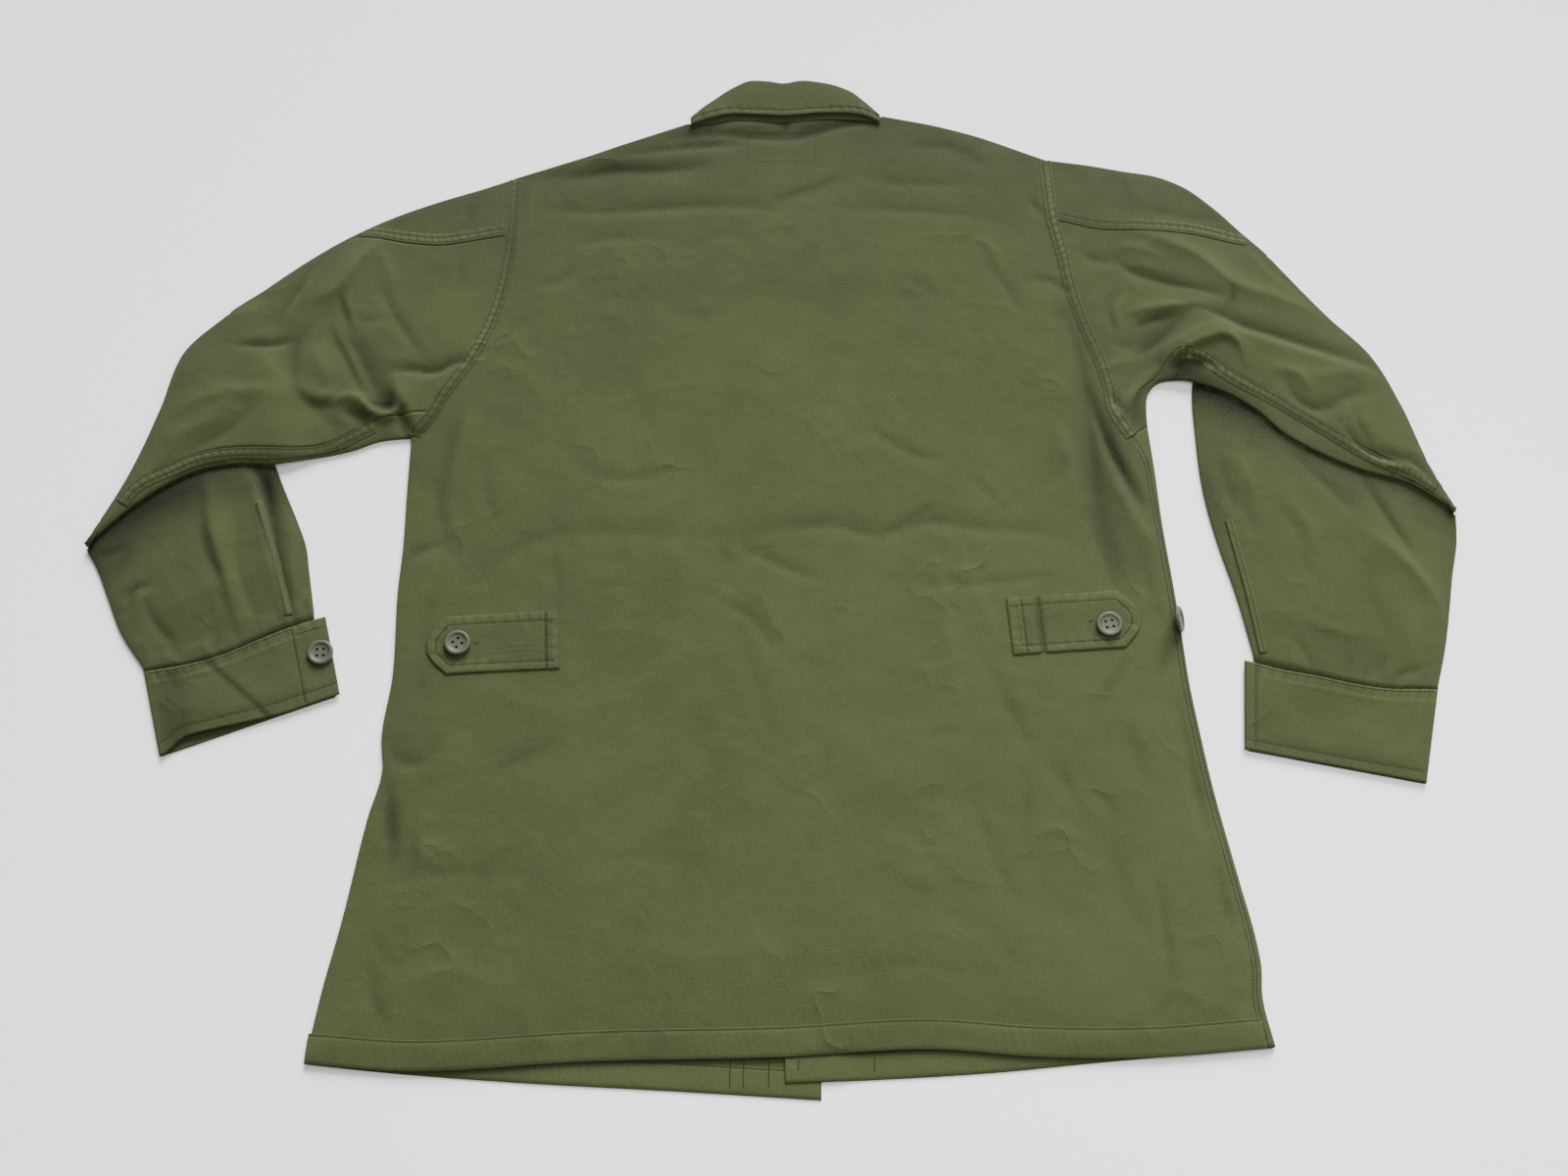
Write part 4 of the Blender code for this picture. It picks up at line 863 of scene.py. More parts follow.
cotton_outer = cotton("olive_cotton", COTTON)
# The thread is a darker olive than the cloth, darkened further as painted shade of its needle
# holes.
cotton_thread = new_material("olive_thread", (0.013, 0.018, 0.006), 0.8)[0]

# %% Button plastic
def plastic(name, colour):
    """Matt moulded plastic: a faint cloud in its colour and a fine grain in its bump."""
    made, tree, shader = new_material(name, colour, 0.5)
    shader.inputs["Specular IOR Level"].default_value = 0.3
    place = tree.nodes.new("ShaderNodeTexCoord").outputs["Object"]
    cloud = noise(tree, place, 160.0, 2.0)
    paint(tree, shader, colour, maths(tree, "MULTIPLY_ADD", cloud, 0.3, 0.85))
    grain = node(tree, "ShaderNodeBump", Strength=0.25, Distance=0.0001)
    tree.links.new(noise(tree, place, 1500.0, 2.0), grain.inputs["Height"])
    tree.links.new(grain.outputs[0], shader.inputs["Normal"])
    return made


button_plastic = plastic("grey_olive_plastic", (0.052, 0.057, 0.035))

# %% [markdown]
# ## From grids to cloth
# A piece is one or more grids of points that share their edges. They are put into one
# mesh, points at the same place are made one, and the faces are turned the same way. Then
# Solidify gives the cloth its thickness. The UV map holds lengths along the grid's rows
# and columns, which is how the cloth would measure if it were laid flat.

# %% Meshes from grids
def to_frame(points):
    """Table millimetres to the frame's metres."""
    return (np.asarray(points, float) - (0, ORIGIN_Y, 0)) * MM


def quads(index):
    """Faces of a grid of point numbers."""
    return np.stack([index[:-1, :-1], index[:-1, 1:], index[1:, 1:], index[1:, :-1]],
                    axis=-1).reshape(-1, 4)


def cloth_lengths(grid):
    """UV of a grid in metres: the mean running length along its columns and its rows."""
    across = np.linalg.norm(np.diff(grid, axis=1), axis=2).mean(axis=0)
    along = np.linalg.norm(np.diff(grid, axis=0), axis=2).mean(axis=1)
    u, v = np.r_[0, np.cumsum(across)], np.r_[0, np.cumsum(along)]
    return np.stack(np.meshgrid(u, v), axis=-1).reshape(-1, 2) * MM


def object_from(name, points, faces, uv, tone, finish, wall=0.0):
    """A named piece from arrays: points in metres, faces of four points, a UV and a tone
    for each point. Points at one place are made one before the faces are turned."""
    mesh = bpy.data.meshes.new(name)
    mesh.from_pydata(points, [], faces.tolist() if hasattr(faces, "tolist") else faces)
    corner = np.empty(len(mesh.loops), np.int32)
    mesh.loops.foreach_get("vertex_index", corner)
    layer = mesh.uv_layers.new(name="cloth")
    layer.data.foreach_set("uv", uv[corner].astype(np.float32).ravel())
    # The tone attribute holds painted shade and highlight, with some rubbing.
    shade_and_wear = mesh.attributes.new("tone", "FLOAT", "POINT")
    shade_and_wear.data.foreach_set("value", np.broadcast_to(tone, len(points)).astype(np.float32))
    bm = bmesh.new()
    bm.from_mesh(mesh)
    bmesh.ops.remove_doubles(bm, verts=bm.verts, dist=2e-6)
    bmesh.ops.recalc_face_normals(bm, faces=bm.faces)
    bm.to_mesh(mesh)
    bm.free()
    mesh.shade_smooth()
    mesh.materials.append(finish)
    piece = new_object(name, mesh)
    if wall:
        solid = piece.modifiers.new("wall", "SOLIDIFY")
        solid.thickness = wall * MM
        solid.offset = 0.0
        solid.use_even_offset = False
    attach(piece, "root")
    return piece


def cloth(name, grids, finish=None, wall=WALL, tones=None):
    """A piece of cloth from grids of points in millimetres."""
    points, faces, uvs, shade_and_wear, start = [], [], [], [], 0
    for k, grid in enumerate(grids):
        index = np.arange(grid[..., 0].size).reshape(grid.shape[:2]) + start
        start += index.size
        points.append(to_frame(grid.reshape(-1, 3)))
        faces.append(quads(index))
        uvs.append(cloth_lengths(grid))
        shade_and_wear.append(np.ravel(tones[k]) if tones is not None else np.zeros(index.size))
    piece = object_from(
        name, np.concatenate(points), np.concatenate(faces), np.concatenate(uvs),
        np.concatenate(shade_and_wear), finish or cotton_outer, wall)
    print(f"{name}: {len(piece.data.polygons)} faces before its wall")
    return piece


# %% [markdown]
# ## The torso
# The back is one panel. At its sides and shoulders it turns over the edge into the fronts,
# which lie under it. It could be a plane with a displacement, but a patch between its four
# real edges keeps every row of points in line with the hem and the seams.

# %% Folded edges
SIDE_ROWS, ARMHOLE_ROWS = 160, 84
SHOULDER_COLUMNS, NECK_COLUMNS = 57, 58
FRONT_SHOULDER_COLUMNS, FRONT_NECK_COLUMNS = 18, 18
UNDER_COLUMNS = 60
STRIP_COLUMNS = 7  # between the right side seam and the folded edge


def inset_edge(path, count, left, distance=INSET):
    """Where the cloth of a folded edge begins to turn, and the way out of the cloth."""
    edge = curve(path, 120)
    out = normals(edge, left)
    stations = np.linspace(0, 120, count + 1)
    inner, out = (
        np.stack([np.interp(stations, np.arange(121), axis) for axis in values.T], axis=1)
        for values in (edge - out * distance, out)
    )
    return inner, unit(out)


def turn(upper, lower, outward):
    """Rows of points on a half circle from the upper layer's edge to the lower's."""
    middle, half = (upper + lower) / 2, (upper - lower) / 2
    out = np.concatenate([outward, np.zeros((*outward.shape[:-1], 1))], axis=-1)
    angles = np.radians(TURN_ANGLES)
    return [middle + half * math.sin(a) + out * FOLD * math.cos(a) for a in angles]


# %% Torso surfaces
def torso():
    """Points of the torso's layers and folded edges, by name."""
    made = {}
    corner_left, corner_right = unit(np.array([-0.7, -0.7])), unit(np.array([1.0, -0.2]))
    left_edge, left_out = inset_edge(LEFT_SIDE, SIDE_ROWS, left=True)
    right_edge, right_out = inset_edge(RIGHT_SIDE, SIDE_ROWS, left=False)
    left_out[-1], right_out[-1] = corner_left, corner_right
    left_edge[-1] = LEFT_SIDE[-1] - corner_left * INSET
    right_edge[-1] = RIGHT_SIDE[-1] - corner_right * INSET
    strip = np.interp(right_edge[:, 1], SIDE_SEAM_Y, SIDE_SEAM_INSET)[:, None]
    side_seam = right_edge - right_out * (strip - INSET)
    bend = round(SIDE_ROWS * 0.95)
    share = np.linspace(0, 1, SIDE_ROWS + 1 - bend)[:, None]
    side_seam[bend:] = (1 - share) * side_seam[bend] + share * RIGHT_ARMHOLE[0]
    left_top, left_up = inset_edge(LEFT_SHOULDER, SHOULDER_COLUMNS, left=True)
    right_top, right_up = inset_edge(RIGHT_SHOULDER, SHOULDER_COLUMNS, left=True)
    neck = curve((left_top[-1], *NECKLINE[1:-1], right_top[0]), NECK_COLUMNS)
    left_hole = (left_edge[-1], *LEFT_ARMHOLE[1:-1], left_top[0])
    left_armhole = curve(left_hole, ARMHOLE_ROWS)
    right_armhole = curve((*RIGHT_ARMHOLE[:-1], right_top[-1]), ARMHOLE_ROWS)
    hem = curve((left_edge[0], *BACK_HEM[1:-1], side_seam[0]),
                2 * SHOULDER_COLUMNS + NECK_COLUMNS)
    upper = patch(
        start=hem,
        end=np.concatenate([left_top, neck[1:-1], right_top]),
        first=np.concatenate([left_edge, left_armhole[1:]]),
        last=np.concatenate([side_seam, right_armhole[1:]]),
    )
    made["upper"] = at_height(upper, body_top(*split(upper)))
    across = np.linspace(0, 1, STRIP_COLUMNS + 1)[None, :, None]
    strip_flat = side_seam[:, None] * (1 - across) + right_edge[:, None] * across
    made["strip"] = at_height(strip_flat, EDGE_TOP)
    made["strip"][..., 2] += (made["upper"][:SIDE_ROWS + 1, -1, 2] - EDGE_TOP)[:, None] * (
        1 - across[..., 0])

    left_under = curve(left_hole, UNDER_COLUMNS)
    right_under = curve((right_edge[-1], *RIGHT_ARMHOLE[1:-1], right_top[-1]),
                        UNDER_COLUMNS)
    front_rows = SIDE_ROWS + UNDER_COLUMNS
    left_seam, _ = inset_edge(LEFT_SHOULDER, FRONT_SHOULDER_COLUMNS, left=True)
    right_seam, _ = inset_edge(RIGHT_SHOULDER, FRONT_SHOULDER_COLUMNS, left=True)
    columns = FRONT_SHOULDER_COLUMNS + FRONT_NECK_COLUMNS
    left_neck = curve((left_top[-1], *LEFT_FRONT_NECK[1:]), FRONT_NECK_COLUMNS)
    neck_x = np.linspace(RIGHT_FLY_X, right_top[0, 0], FRONT_NECK_COLUMNS + 1)
    right_neck = at_x((*RIGHT_FRONT_NECK[:-1], right_top[0]), neck_x)
    hem_x = np.linspace(RIGHT_FLY_X, right_edge[0, 0], columns + 1)
    left_front = patch(
        start=curve((left_edge[0], *LEFT_FRONT_HEM[1:]), columns),
        end=np.concatenate([left_seam, left_neck[1:]]),
        first=np.concatenate([left_edge, left_under[1:]]),
        last=curve((LEFT_FRONT_HEM[-1], LEFT_FRONT_NECK[-1]), front_rows),
    )
    right_front = patch(
        start=at_x((*RIGHT_FRONT_HEM[:-1], right_edge[0]), hem_x),
        end=np.concatenate([right_neck[:-1], right_seam]),
        first=curve((RIGHT_FRONT_HEM[0], RIGHT_FRONT_NECK[0]), front_rows),
        last=np.concatenate([right_edge, right_under[1:]]),
    )
    made["left_front"] = at_height(left_front, TABLE + leaf_rise(*split(left_front)))
    over = 1 - soft((right_front[..., 0] - LEFT_FLY_X - FLY_MARGIN) / FLY_STEP)
    made["right_front"] = at_height(
        right_front, TABLE + leaf_rise(*split(right_front)) + LAYER * over)

    side = slice(0, SIDE_ROWS + 1)
    for name, top, below, out in (
        ("left_edge", made["upper"][side, 0], made["left_front"][side, 0], left_out),
        ("right_edge", made["strip"][:, -1], made["right_front"][side, -1], right_out),
    ):
        made[name] = np.stack([top, *turn(top, below, out), below], axis=1)
    for name, top, up in (
        ("left_shoulder", made["upper"][-1, :SHOULDER_COLUMNS + 1], left_up),
        ("right_shoulder", made["upper"][-1, -SHOULDER_COLUMNS - 1:], right_up),
    ):
        below = top.copy()
        below[:, 2] = TABLE + leaf_rise(top[:, 0], top[:, 1])
        made[name] = np.stack([top, *turn(top, below, up), below])
    made["left_corner"], made["right_corner"] = corner_left, corner_right
    made["left_up"], made["right_up"] = left_up[0], right_up[-1]
    return made


# Painted shade in fold troughs and paler crests, partly painted highlight and partly rubbing.
FOLD_SHADE_AND_WEAR = 0.13  # tone for each millimetre of a fold's height
PAINTED_SHADE_WAYS = (  # way, tone, width on its left and right: painted shade, darker along the top of the jacket, in deep creases and beside overhanging edges
    ((-491, 166, -422, 221, -350, 263, -276, 295, -200, 317, -132, 344, -54, 371, 90, 371,
      163, 347, 232, 323, 315, 300, 380, 252, 434, 178), -0.62, 52, 52),
    ((228, 128, 240, 79, 250, 23, 257, -32), -0.4, 22, 22),
    ((251, 120, 276, 102, 299, 118, 329, 118), -0.45, 17, 17),
    ((270, 183, 298, 151, 326, 132, 368, 103), -0.45, 20, 22),
    ((223, 217, 243, 178, 258, 132), -0.35, 14, 14),
    ((-296, 123, -290, 113, -282, 102), -0.9, 5, 5),
    ((-321, 106, -306, 103, -292, 100), -0.6, 4, 4),
    ((298, 126, 306, 136, 316, 141, 328, 143), -0.9, 6, 8),
    ((250, 113, 253, 87, 260, 58, 269, 32), -0.55, 4, 4),
    ((318, 136, 339, 113, 357, 102, 378, 85), -0.5, 8, 14),
    ((320, 63, 325, 35, 332, 3), -0.4, 8, 6),
    ((-380, 56, -373, 42, -359, -15, -347, -61), -0.6, 4, 4),
    ((-369, 56, -359, 31, -349, 3, -340, -24), -0.35, 12, 10),
    ((-500, -2, -474, 15, -454, 29, -434, 40, -402, 48), -0.5, 12, 12),
    ((-154, 313, -135, 317, -115, 316, -96, 313), -0.3, 8, 8),
    ((8, 345, 24, 348, 45, 355), -0.3, 6, 6),
    ((-270, -198, -268, -208, -265, -230), -0.6, 4, 4),
)


def fold_shade_and_wear(folds, grid):
    """Tone from the folds: crests a little paler, partly as rubbed cloth is and partly as
    painted highlight, troughs darker as painted shade, and soft streaks of painted shade along
    some ways."""
    x, y = grid[..., 0], grid[..., 1]
    tone = np.clip(FOLD_SHADE_AND_WEAR * folds_at(folds, x, y), -0.6, 0.16)
    return np.maximum(tone + folds_at(PAINTED_SHADE_WAYS, x, y), -1.4)


body = torso()
back_grids = [body[key] for key in ("upper", "left_edge", "left_shoulder", "right_shoulder")]
back = cloth("back_panel", back_grids, tones=[fold_shade_and_wear(BODY_FOLDS, grid) for grid in back_grids])
front_left = cloth("front_panel_left", [body["left_front"]])
front_right = cloth("front_panel_right", [body["right_front"], body["right_edge"],
                                          body["strip"]])
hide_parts("back")
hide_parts("front_left")
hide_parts("front_right")

# %% [markdown]
# ## The sleeves
# A sleeve is a tube with a bend. Laid flat, it folds over itself at the elbow: what was
# the upper layer goes under, and the forearm shows the tube's other side. So each sleeve
# is built as a row of closed sections, from the armhole to the wrist, and then parted
# along its two seams into the top sleeve and the under sleeve.

# %% Where the sleeves' seams run
SLEEVES = {"left": LEFT_SLEEVE, "right": RIGHT_SLEEVE}
REAR_SEAM = {  # armhole, outer edge
    "left": ((-206, 256), (-212, 255), (-235, 251), (-257, 248), (-280, 250), (-308, 255),
             (-323, 257)),
    "right": ((219, 270), (224, 269), (246, 263), (287, 260), (327, 257), (367, 247)),
}
INSEAM = {  # armpit, elbow
    "left": ((-280, 101), (-301, 96), (-321, 85), (-338, 77), (-363, 73), (-389, 73),
             (-415, 71), (-431, 67), (-448, 59), (-462, 52), (-474, 44), (-484, 30)),
    "right": ((283, 118), (296, 143), (308, 157), (321, 156), (346, 137), (379, 116),
              (410, 94), (445, 70), (480, 52), (496, 40)),
}

# %% Sleeve sections
UPPER_ARM_ROWS, FOREARM_ROWS = 125, 80
WEDGE = 18  # columns between the outer edge and the rear seam
ELBOW_PULL = 0.45  # share of the way to the elbow's tip that the fold's last point goes
CREASE_ENDS = 0.4  # how round the fold's two ends are, as a share of an edge's turn
SEAM_NEAR = 3.0  # a section meets a seam where it passes this near to its way


def armhole_loops(body):
    """Each armhole as upper and lower points from shoulder to armpit, and the way out of
    the cloth at its shoulder and at its armpit."""
    upper, strip = body["upper"], body["strip"]
    left = {
        "upper": upper[SIDE_ROWS:, 0][::-1],
        "lower": body["left_front"][SIDE_ROWS:, 0][::-1],
        "shoulder": body["left_up"],
        "armpit": body["left_corner"],
    }
    right = {
        "upper": np.concatenate([upper[SIDE_ROWS:, -1][::-1], strip[-1, 1:]]),
        "lower": body["right_front"][SIDE_ROWS:, -1][::-1],
        "shoulder": body["right_up"],
        "armpit": body["right_corner"],
    }
    return left, right


def ring(upper, lower, out_first, out_last):
    """One closed section: the upper layer, round the lower edge, the lower layer back,
    and round the outer edge to the start."""
    far = turn(upper[-1], lower[-1], out_last)
    near = turn(upper[0], lower[0], out_first)[::-1]
    return np.concatenate([upper, far, lower[::-1], near, upper[:1]])


def sleeve_rings(sleeve, side, loop):
    """The sleeve as rows of closed sections: upper arm, the fold at the elbow, forearm."""
    is_left = side == "left"
    outer, out_first = inset_edge(sleeve["outer"], UPPER_ARM_ROWS, not is_left)
    lower, out_last = inset_edge(sleeve["lower"], UPPER_ARM_ROWS, is_left)
    inner, inner_out = inset_edge(sleeve["inner"], FOREARM_ROWS, is_left)
    hand, hand_out = inset_edge(sleeve["forearm"], FOREARM_ROWS, not is_left)
    out_first[0], out_last[0] = loop["shoulder"], loop["armpit"]
    counts = {"upper": len(loop["upper"]) - 1, "lower": len(loop["lower"]) - 1}
    crease, crease_out = {}, {}
    for layer, count in counts.items():
        crease[layer], crease_out[layer] = inset_edge(
            sleeve["crease"], count, not is_left, CREASE_RADIUS + WALL / 2)
        crease[layer][-1] += ELBOW_PULL * (np.array(sleeve["elbow"]) - crease[layer][-1])
    outer[0], lower[0] = loop["upper"][0, :2], loop["upper"][-1, :2]
    outer[-1], lower[-1] = crease["upper"][0], crease["upper"][-1]
    inner[0], hand[0] = outer[-1], lower[-1]

    flat = {k: sweep(loop[k][:, :2], crease[k], outer, lower, ARMHOLE_FADE) for k in counts}
    low = at_height(flat["lower"], TABLE + arm_lift(sleeve, *split(flat["lower"])))
    top = at_height(flat["upper"], arm_top(sleeve, *split(flat["upper"])))
    top[:, 0, 2], top[:, -1, 2] = low[:, 0, 2] + 2 * FOLD, low[:, -1, 2] + 2 * FOLD
    top[0] = loop["upper"]
    rows = [ring(top[k], low[k], out_first[k], out_last[k])
            for k in range(UPPER_ARM_ROWS + 1)]

    wrist = {k: curve(sleeve["wrist"], counts[k], INSET, INSET) for k in counts}
    inner[-1], hand[-1] = wrist["upper"][0], wrist["upper"][-1]
    flat = {k: sweep(crease[k], wrist[k], inner, hand) for k in counts}
    under = at_height(flat["upper"], TABLE)
    over = at_height(flat["lower"], forearm_top(sleeve, side, *split(flat["lower"])))
    over[:, 0, 2] = over[:, -1, 2] = over[0, :, 2] = EDGE_TOP

    ends = unit(crease["upper"][[0, -1]] - crease["upper"][[1, -2]]) * CREASE_ENDS
    for angle in np.radians(CREASE_ANGLES):
        bent = {}
        for layer, above, below in (("upper", top[-1], under[0]), ("lower", low[-1], over[0])):
            half, middle = (above[:, 2] - below[:, 2]) / 2, (above[:, 2] + below[:, 2]) / 2
            out = crease_out[layer] * (half * math.cos(angle))[:, None]
            bent[layer] = at_height(crease[layer] + out, middle + half * math.sin(angle))
        rows.append(ring(bent["upper"], bent["lower"], *ends))
    rows += [ring(under[k], over[k], inner_out[k], hand_out[k])
             for k in range(FOREARM_ROWS + 1)]
    return np.array(rows)


def share_at(path, way):
    """Where a section passes a way: the share of its length, and how near it comes."""
    fine = points_at(path, np.linspace(0, length(path), 400))
    gap = np.linalg.norm(fine[:, None, :2] - way[None], axis=2).min(axis=1)
    return gap.argmin() / 399, gap.min()


def part_at_seams(rings, side, last):
    """Two pieces from one sleeve. The inseam runs along one column of the sections, the
    rear seam along another, until it reaches the outer edge and follows that edge. The
    columns of each section are spaced anew so that these two lie on their ways."""
    rear, under_arm = smooth(REAR_SEAM[side])[::6], smooth(INSEAM[side])[::6]
    column = INSEAM_COLUMN[side]
    found = np.array([
        (*share_at(ring[:last + 1], rear), *share_at(ring[:last + 1], under_arm),
         points_run(ring[:last + 1])[column] / length(ring[:last + 1]))
        for ring in rings[1:UPPER_ARM_ROWS]])
    high, high_gap, low, low_gap, own = found.T
    cut = int(np.flatnonzero(high_gap < SEAM_NEAR)[-1]) + 4
    row = np.arange(1, UPPER_ARM_ROWS)
    even = own * WEDGE / column
    high = np.where(row < cut, np.maximum(high, SEAM_END), SEAM_END)
    high = even + (high - even) * soft((row - 1) / 5) * (1 - soft((row - cut) / 20))
    low = np.where(low_gap < SEAM_NEAR, low, own)
    low = own + (low - own) * soft((row - 1) / 5) * soft((UPPER_ARM_ROWS - row) / 10)
    window = np.ones(7) / 7
    high, low = (np.convolve(np.pad(v, 3, "edge"), window, "valid") for v in (high, low))
    print(f"{side} rear seam leaves the upper layer at row {cut}")
    for k, (a, b) in enumerate(zip(high, low), start=1):
        path = rings[k, :last + 1]
        at = np.r_[np.linspace(0, a, WEDGE + 1), np.linspace(a, b, column + 1 - WEDGE)[1:],
                   np.linspace(b, 1, last + 1 - column)[1:]]
        rings[k, :last + 1] = points_at(path, at * length(path))
    edge = -(len(TURN_ANGLES) + 3) // 2  # the column half way round the outer edge
    under = [rings[:cut + 1, WEDGE:column + 1], rings[cut:, edge:], rings[cut:, :column + 1]]
    top = [rings[:cut + 1, edge:], rings[:cut + 1, :WEDGE + 1], rings[:, column:edge + 1]]
    return under, top


# Painted shadow cast by each upper arm onto its forearm: its tone, and how far out it fades.
PAINTED_SHADOW, PAINTED_SHADOW_REACH = {"left": -1.0, "right": -0.75}, {"left": 46.0, "right": 30.0}


def sleeve_tone(side, grid):
    """Tone of a sleeve: its folds' painted shade and wear, and on the forearm a painted shadow
    beside the upper arm's edge that fades further out, over a slight painted shade on the
    whole forearm."""
    outside = -depth(BODY_OUTLINE, grid[..., 0], grid[..., 1])
    painted_shadow = PAINTED_SHADOW[side] * (1 - soft(outside / PAINTED_SHADOW_REACH[side])) - 0.08
    return np.where(outside > 0, painted_shadow + fold_shade_and_wear(FOREARM_FOLDS[side], grid),
                    fold_shade_and_wear(ARM_FOLDS[side], grid))


INSEAM_COLUMN = {"left": ARMHOLE_ROWS - 8, "right": ARMHOLE_ROWS}
for side, loop in zip(("left", "right"), armhole_loops(body)):
    rings = sleeve_rings(SLEEVES[side], side, loop)
    under, top = part_at_seams(rings, side, len(loop["upper"]) - 1)
    for name, grids in (("undersleeve", under), ("topsleeve", top)):
        piece = cloth(f"{name}_panel_{side}", grids,
                      tones=[sleeve_tone(side, grid) for grid in grids])
        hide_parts(f"{name}_{side}")

# %% [markdown]
# ## The collar
# The collar stands up at the neck, folds over and falls back on itself, so from behind it
# is a stand, a turn and a fall. Its fall is two layers sewn together and turned out, and
# the row of thread near its free edge keeps that edge flat. A strip carried over a table
# of sections gives all of it as one surface; the real edge's slight pull at each stitch is
# a field of short waves that lives only between the thread and the edge.

# %% Collar
COLLAR_COLUMNS, COLLAR_ROWS = 190, 22
STAND_SHOWS = 4.0  # from the fall's free edge to the stand's seam
COLLAR_STITCH = 5.5  # from the free edge to its row of thread


def puckers(along, seed, pitch=6.4):
    """Round ridges and narrow valleys across a seam, 0 to 1: the size of a sine of the
    length along it, whose pace drifts with slower waves."""
    pick = np.random.default_rng(seed)
    a, b, c = pick.uniform(0, math.tau, 3)
    pace = along / pitch + 0.55 * np.sin(along / 23 + a) + 0.3 * np.sin(along / 9.7 + b)
    strength = 0.65 + 0.35 * np.sin(along / 31 + c)
    return strength * np.abs(np.sin(math.pi * pace)) ** 0.6


def stitch_shade_and_wear(look):
    """Tone of a stitched margin from its look: painted shade in its valleys and along the
    thread's groove, paler ridges, partly rubbing and partly painted highlight.
    """
    return np.clip(1.1 * (look - 0.12), -0.6, 0.25)


def margin_look(gap, row, seed, along, lift=0.32):
    """Height of a stitched margin at a distance gap from a free edge: rolled down at the
    edge, pressed in along the thread, and puckered between them and a little beyond."""
    roll = -0.30 * np.exp(-((gap / 0.6) ** 2))
    groove = -0.42 * np.exp(-(((gap - row) / 0.9) ** 2))
    between = soft(gap / 1.2) * (1 - soft((gap - row) / 2.5))
    beyond = soft((gap - row) / 1.5) * np.exp(-np.maximum(gap - row, 0) / 4.0)
    ripple = puckers(along + 0.25 * gap, seed)
    return roll + groove + lift * (between * ripple + 0.5 * beyond * ripple)


def collar():
    """The stand from the neck up, the turn over the top, and the fall to its free edge,
    with the fall's heights and their distances from that edge."""
    table = np.array(COLLAR_SECTIONS, float)
    x, fold, edge = curve(table, COLLAR_COLUMNS).T
    rows = []
    for share in np.linspace(0, 1, COLLAR_ROWS + 1):
        stand = edge - STAND_SHOWS * soft(np.minimum(x - x[0], x[-1] - x) / 20)
        flat = np.stack([x, stand + share * (fold - INSET - stand)], axis=1)
        rows.append(at_height(flat, body_top(*split(flat)) + LAYER))
    smoothed = np.array(rows)
    smoothed[..., 2] = smoothed[..., 2].mean(axis=0) * 0.5 + smoothed[..., 2] * 0.5
    falls = smoothed + (0, 0, 2 * FOLD)
    share = np.linspace(0, 1, COLLAR_ROWS + 1)[:, None]
    falls[..., 1] = edge + share * (fold - INSET - edge)
    gap = falls[..., 1] - falls[0, :, 1]
    look = margin_look(gap, COLLAR_STITCH, 31, 0.8 * falls[..., 0], 0.8)
    ends = np.minimum(x - x[0], x[-1] - x)
    swell = 0.8 * np.sin(np.pi * np.linspace(0, 1, COLLAR_ROWS + 1))[:, None] * soft(ends / 20)
    swell = swell + 0.8 * waves(x, 0 * x, 34, 33) * np.exp(-gap / 9) * soft(ends / 9)
    falls[..., 2] += look + swell
    outward = np.tile((0.0, 1.0), (len(x), 1))
    bend = turn(falls[-1], smoothed[-1], outward)[::-1]
    grid = np.stack([*smoothed, *bend, *falls[::-1]])
    tone = np.zeros(grid.shape[:2])
    # The fall's tone: painted shade and highlight from its stitched margin.
    tone[-len(falls):] = stitch_shade_and_wear(look)[::-1]
    return grid, tone, falls, gap


collar_grid, collar_tone, collar_fall, collar_gap = collar()
collar_piece = cloth("collar_back", [collar_grid], tones=[collar_tone])
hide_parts("collar")

# %% Collar leaves
def leaf(neckline, edge):
    """A front leaf: it turns down from the front's neckline and lies flat below it."""
    below = at_height(neckline[:, :2], TABLE)
    free = at_height(curve(edge, len(neckline) - 1), TABLE)
    bend = turn(neckline, below, normals(neckline[:, :2]))
    share = np.linspace(0, 1, 30)[:, None, None]
    return np.concatenate([np.stack([neckline, *bend]), (1 - share) * below + share * free])


left_neck = body["left_front"][-1, -FRONT_NECK_COLUMNS - 1:]
right_neck = body["right_front"][-1, :FRONT_NECK_COLUMNS + 1]
for side, neck, edge, span in (
    ("left", left_neck, LEFT_LEAF, (3.0, 112.0)),
    ("right", right_neck, RIGHT_LEAF, (13.5, 102.0)),
):
    stations = np.linspace(*span, 50)
    cloth(f"collar_leaf_panel_{side}",
                         [leaf(points_at(neck, stations), edge)])
    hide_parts(f"collar_leaf_{side}")

# %% [markdown]
# ## The cuffs
# A cuff is one band sewn round the wrist. Pressed flat, it runs from its closing end over
# the top, round the outer edge and back below, where its other end lies between the two
# layers. The upper layer is where it shows, so that is where the thread pulls the cloth.

# %% Cuffs
CUFFS = {"left": LEFT_CUFF, "right": RIGHT_CUFF}
OVERHANG, UNDERLAP = 3.5, 0.28
CUFF_ROWS, CUFF_COLUMNS = 46, 90
CUFF_BUTTON = (-325, -88)
CUFF_TOP_STITCH, CUFF_HEM_STITCH = 1.9, {"left": 9.0, "right": 8.0}
CUFF_END_STITCH = {"left": 25.0, "right": 8.5}  # from the closing end to its row


def cuff_lines(side):
    """The cuff's upper edge as a path, and its hem as a straight one."""
    table = CUFFS[side]
    wrist = np.concatenate([[table["inner"]], smooth(SLEEVES[side]["wrist"])])
    return wrist, np.array([table["hem_inner"], table["hem_outer"]], float)


def cuff_mouth(side, at):
    """How far the upper layer's hem is drawn back: the left cuff gapes near its fold."""
    from_fold = length(cuff_lines(side)[0]) - INSET - at
    return 7.0 * soft(from_fold / 20) * (1 - soft((from_fold - 18) / 80)) * (side == "left")


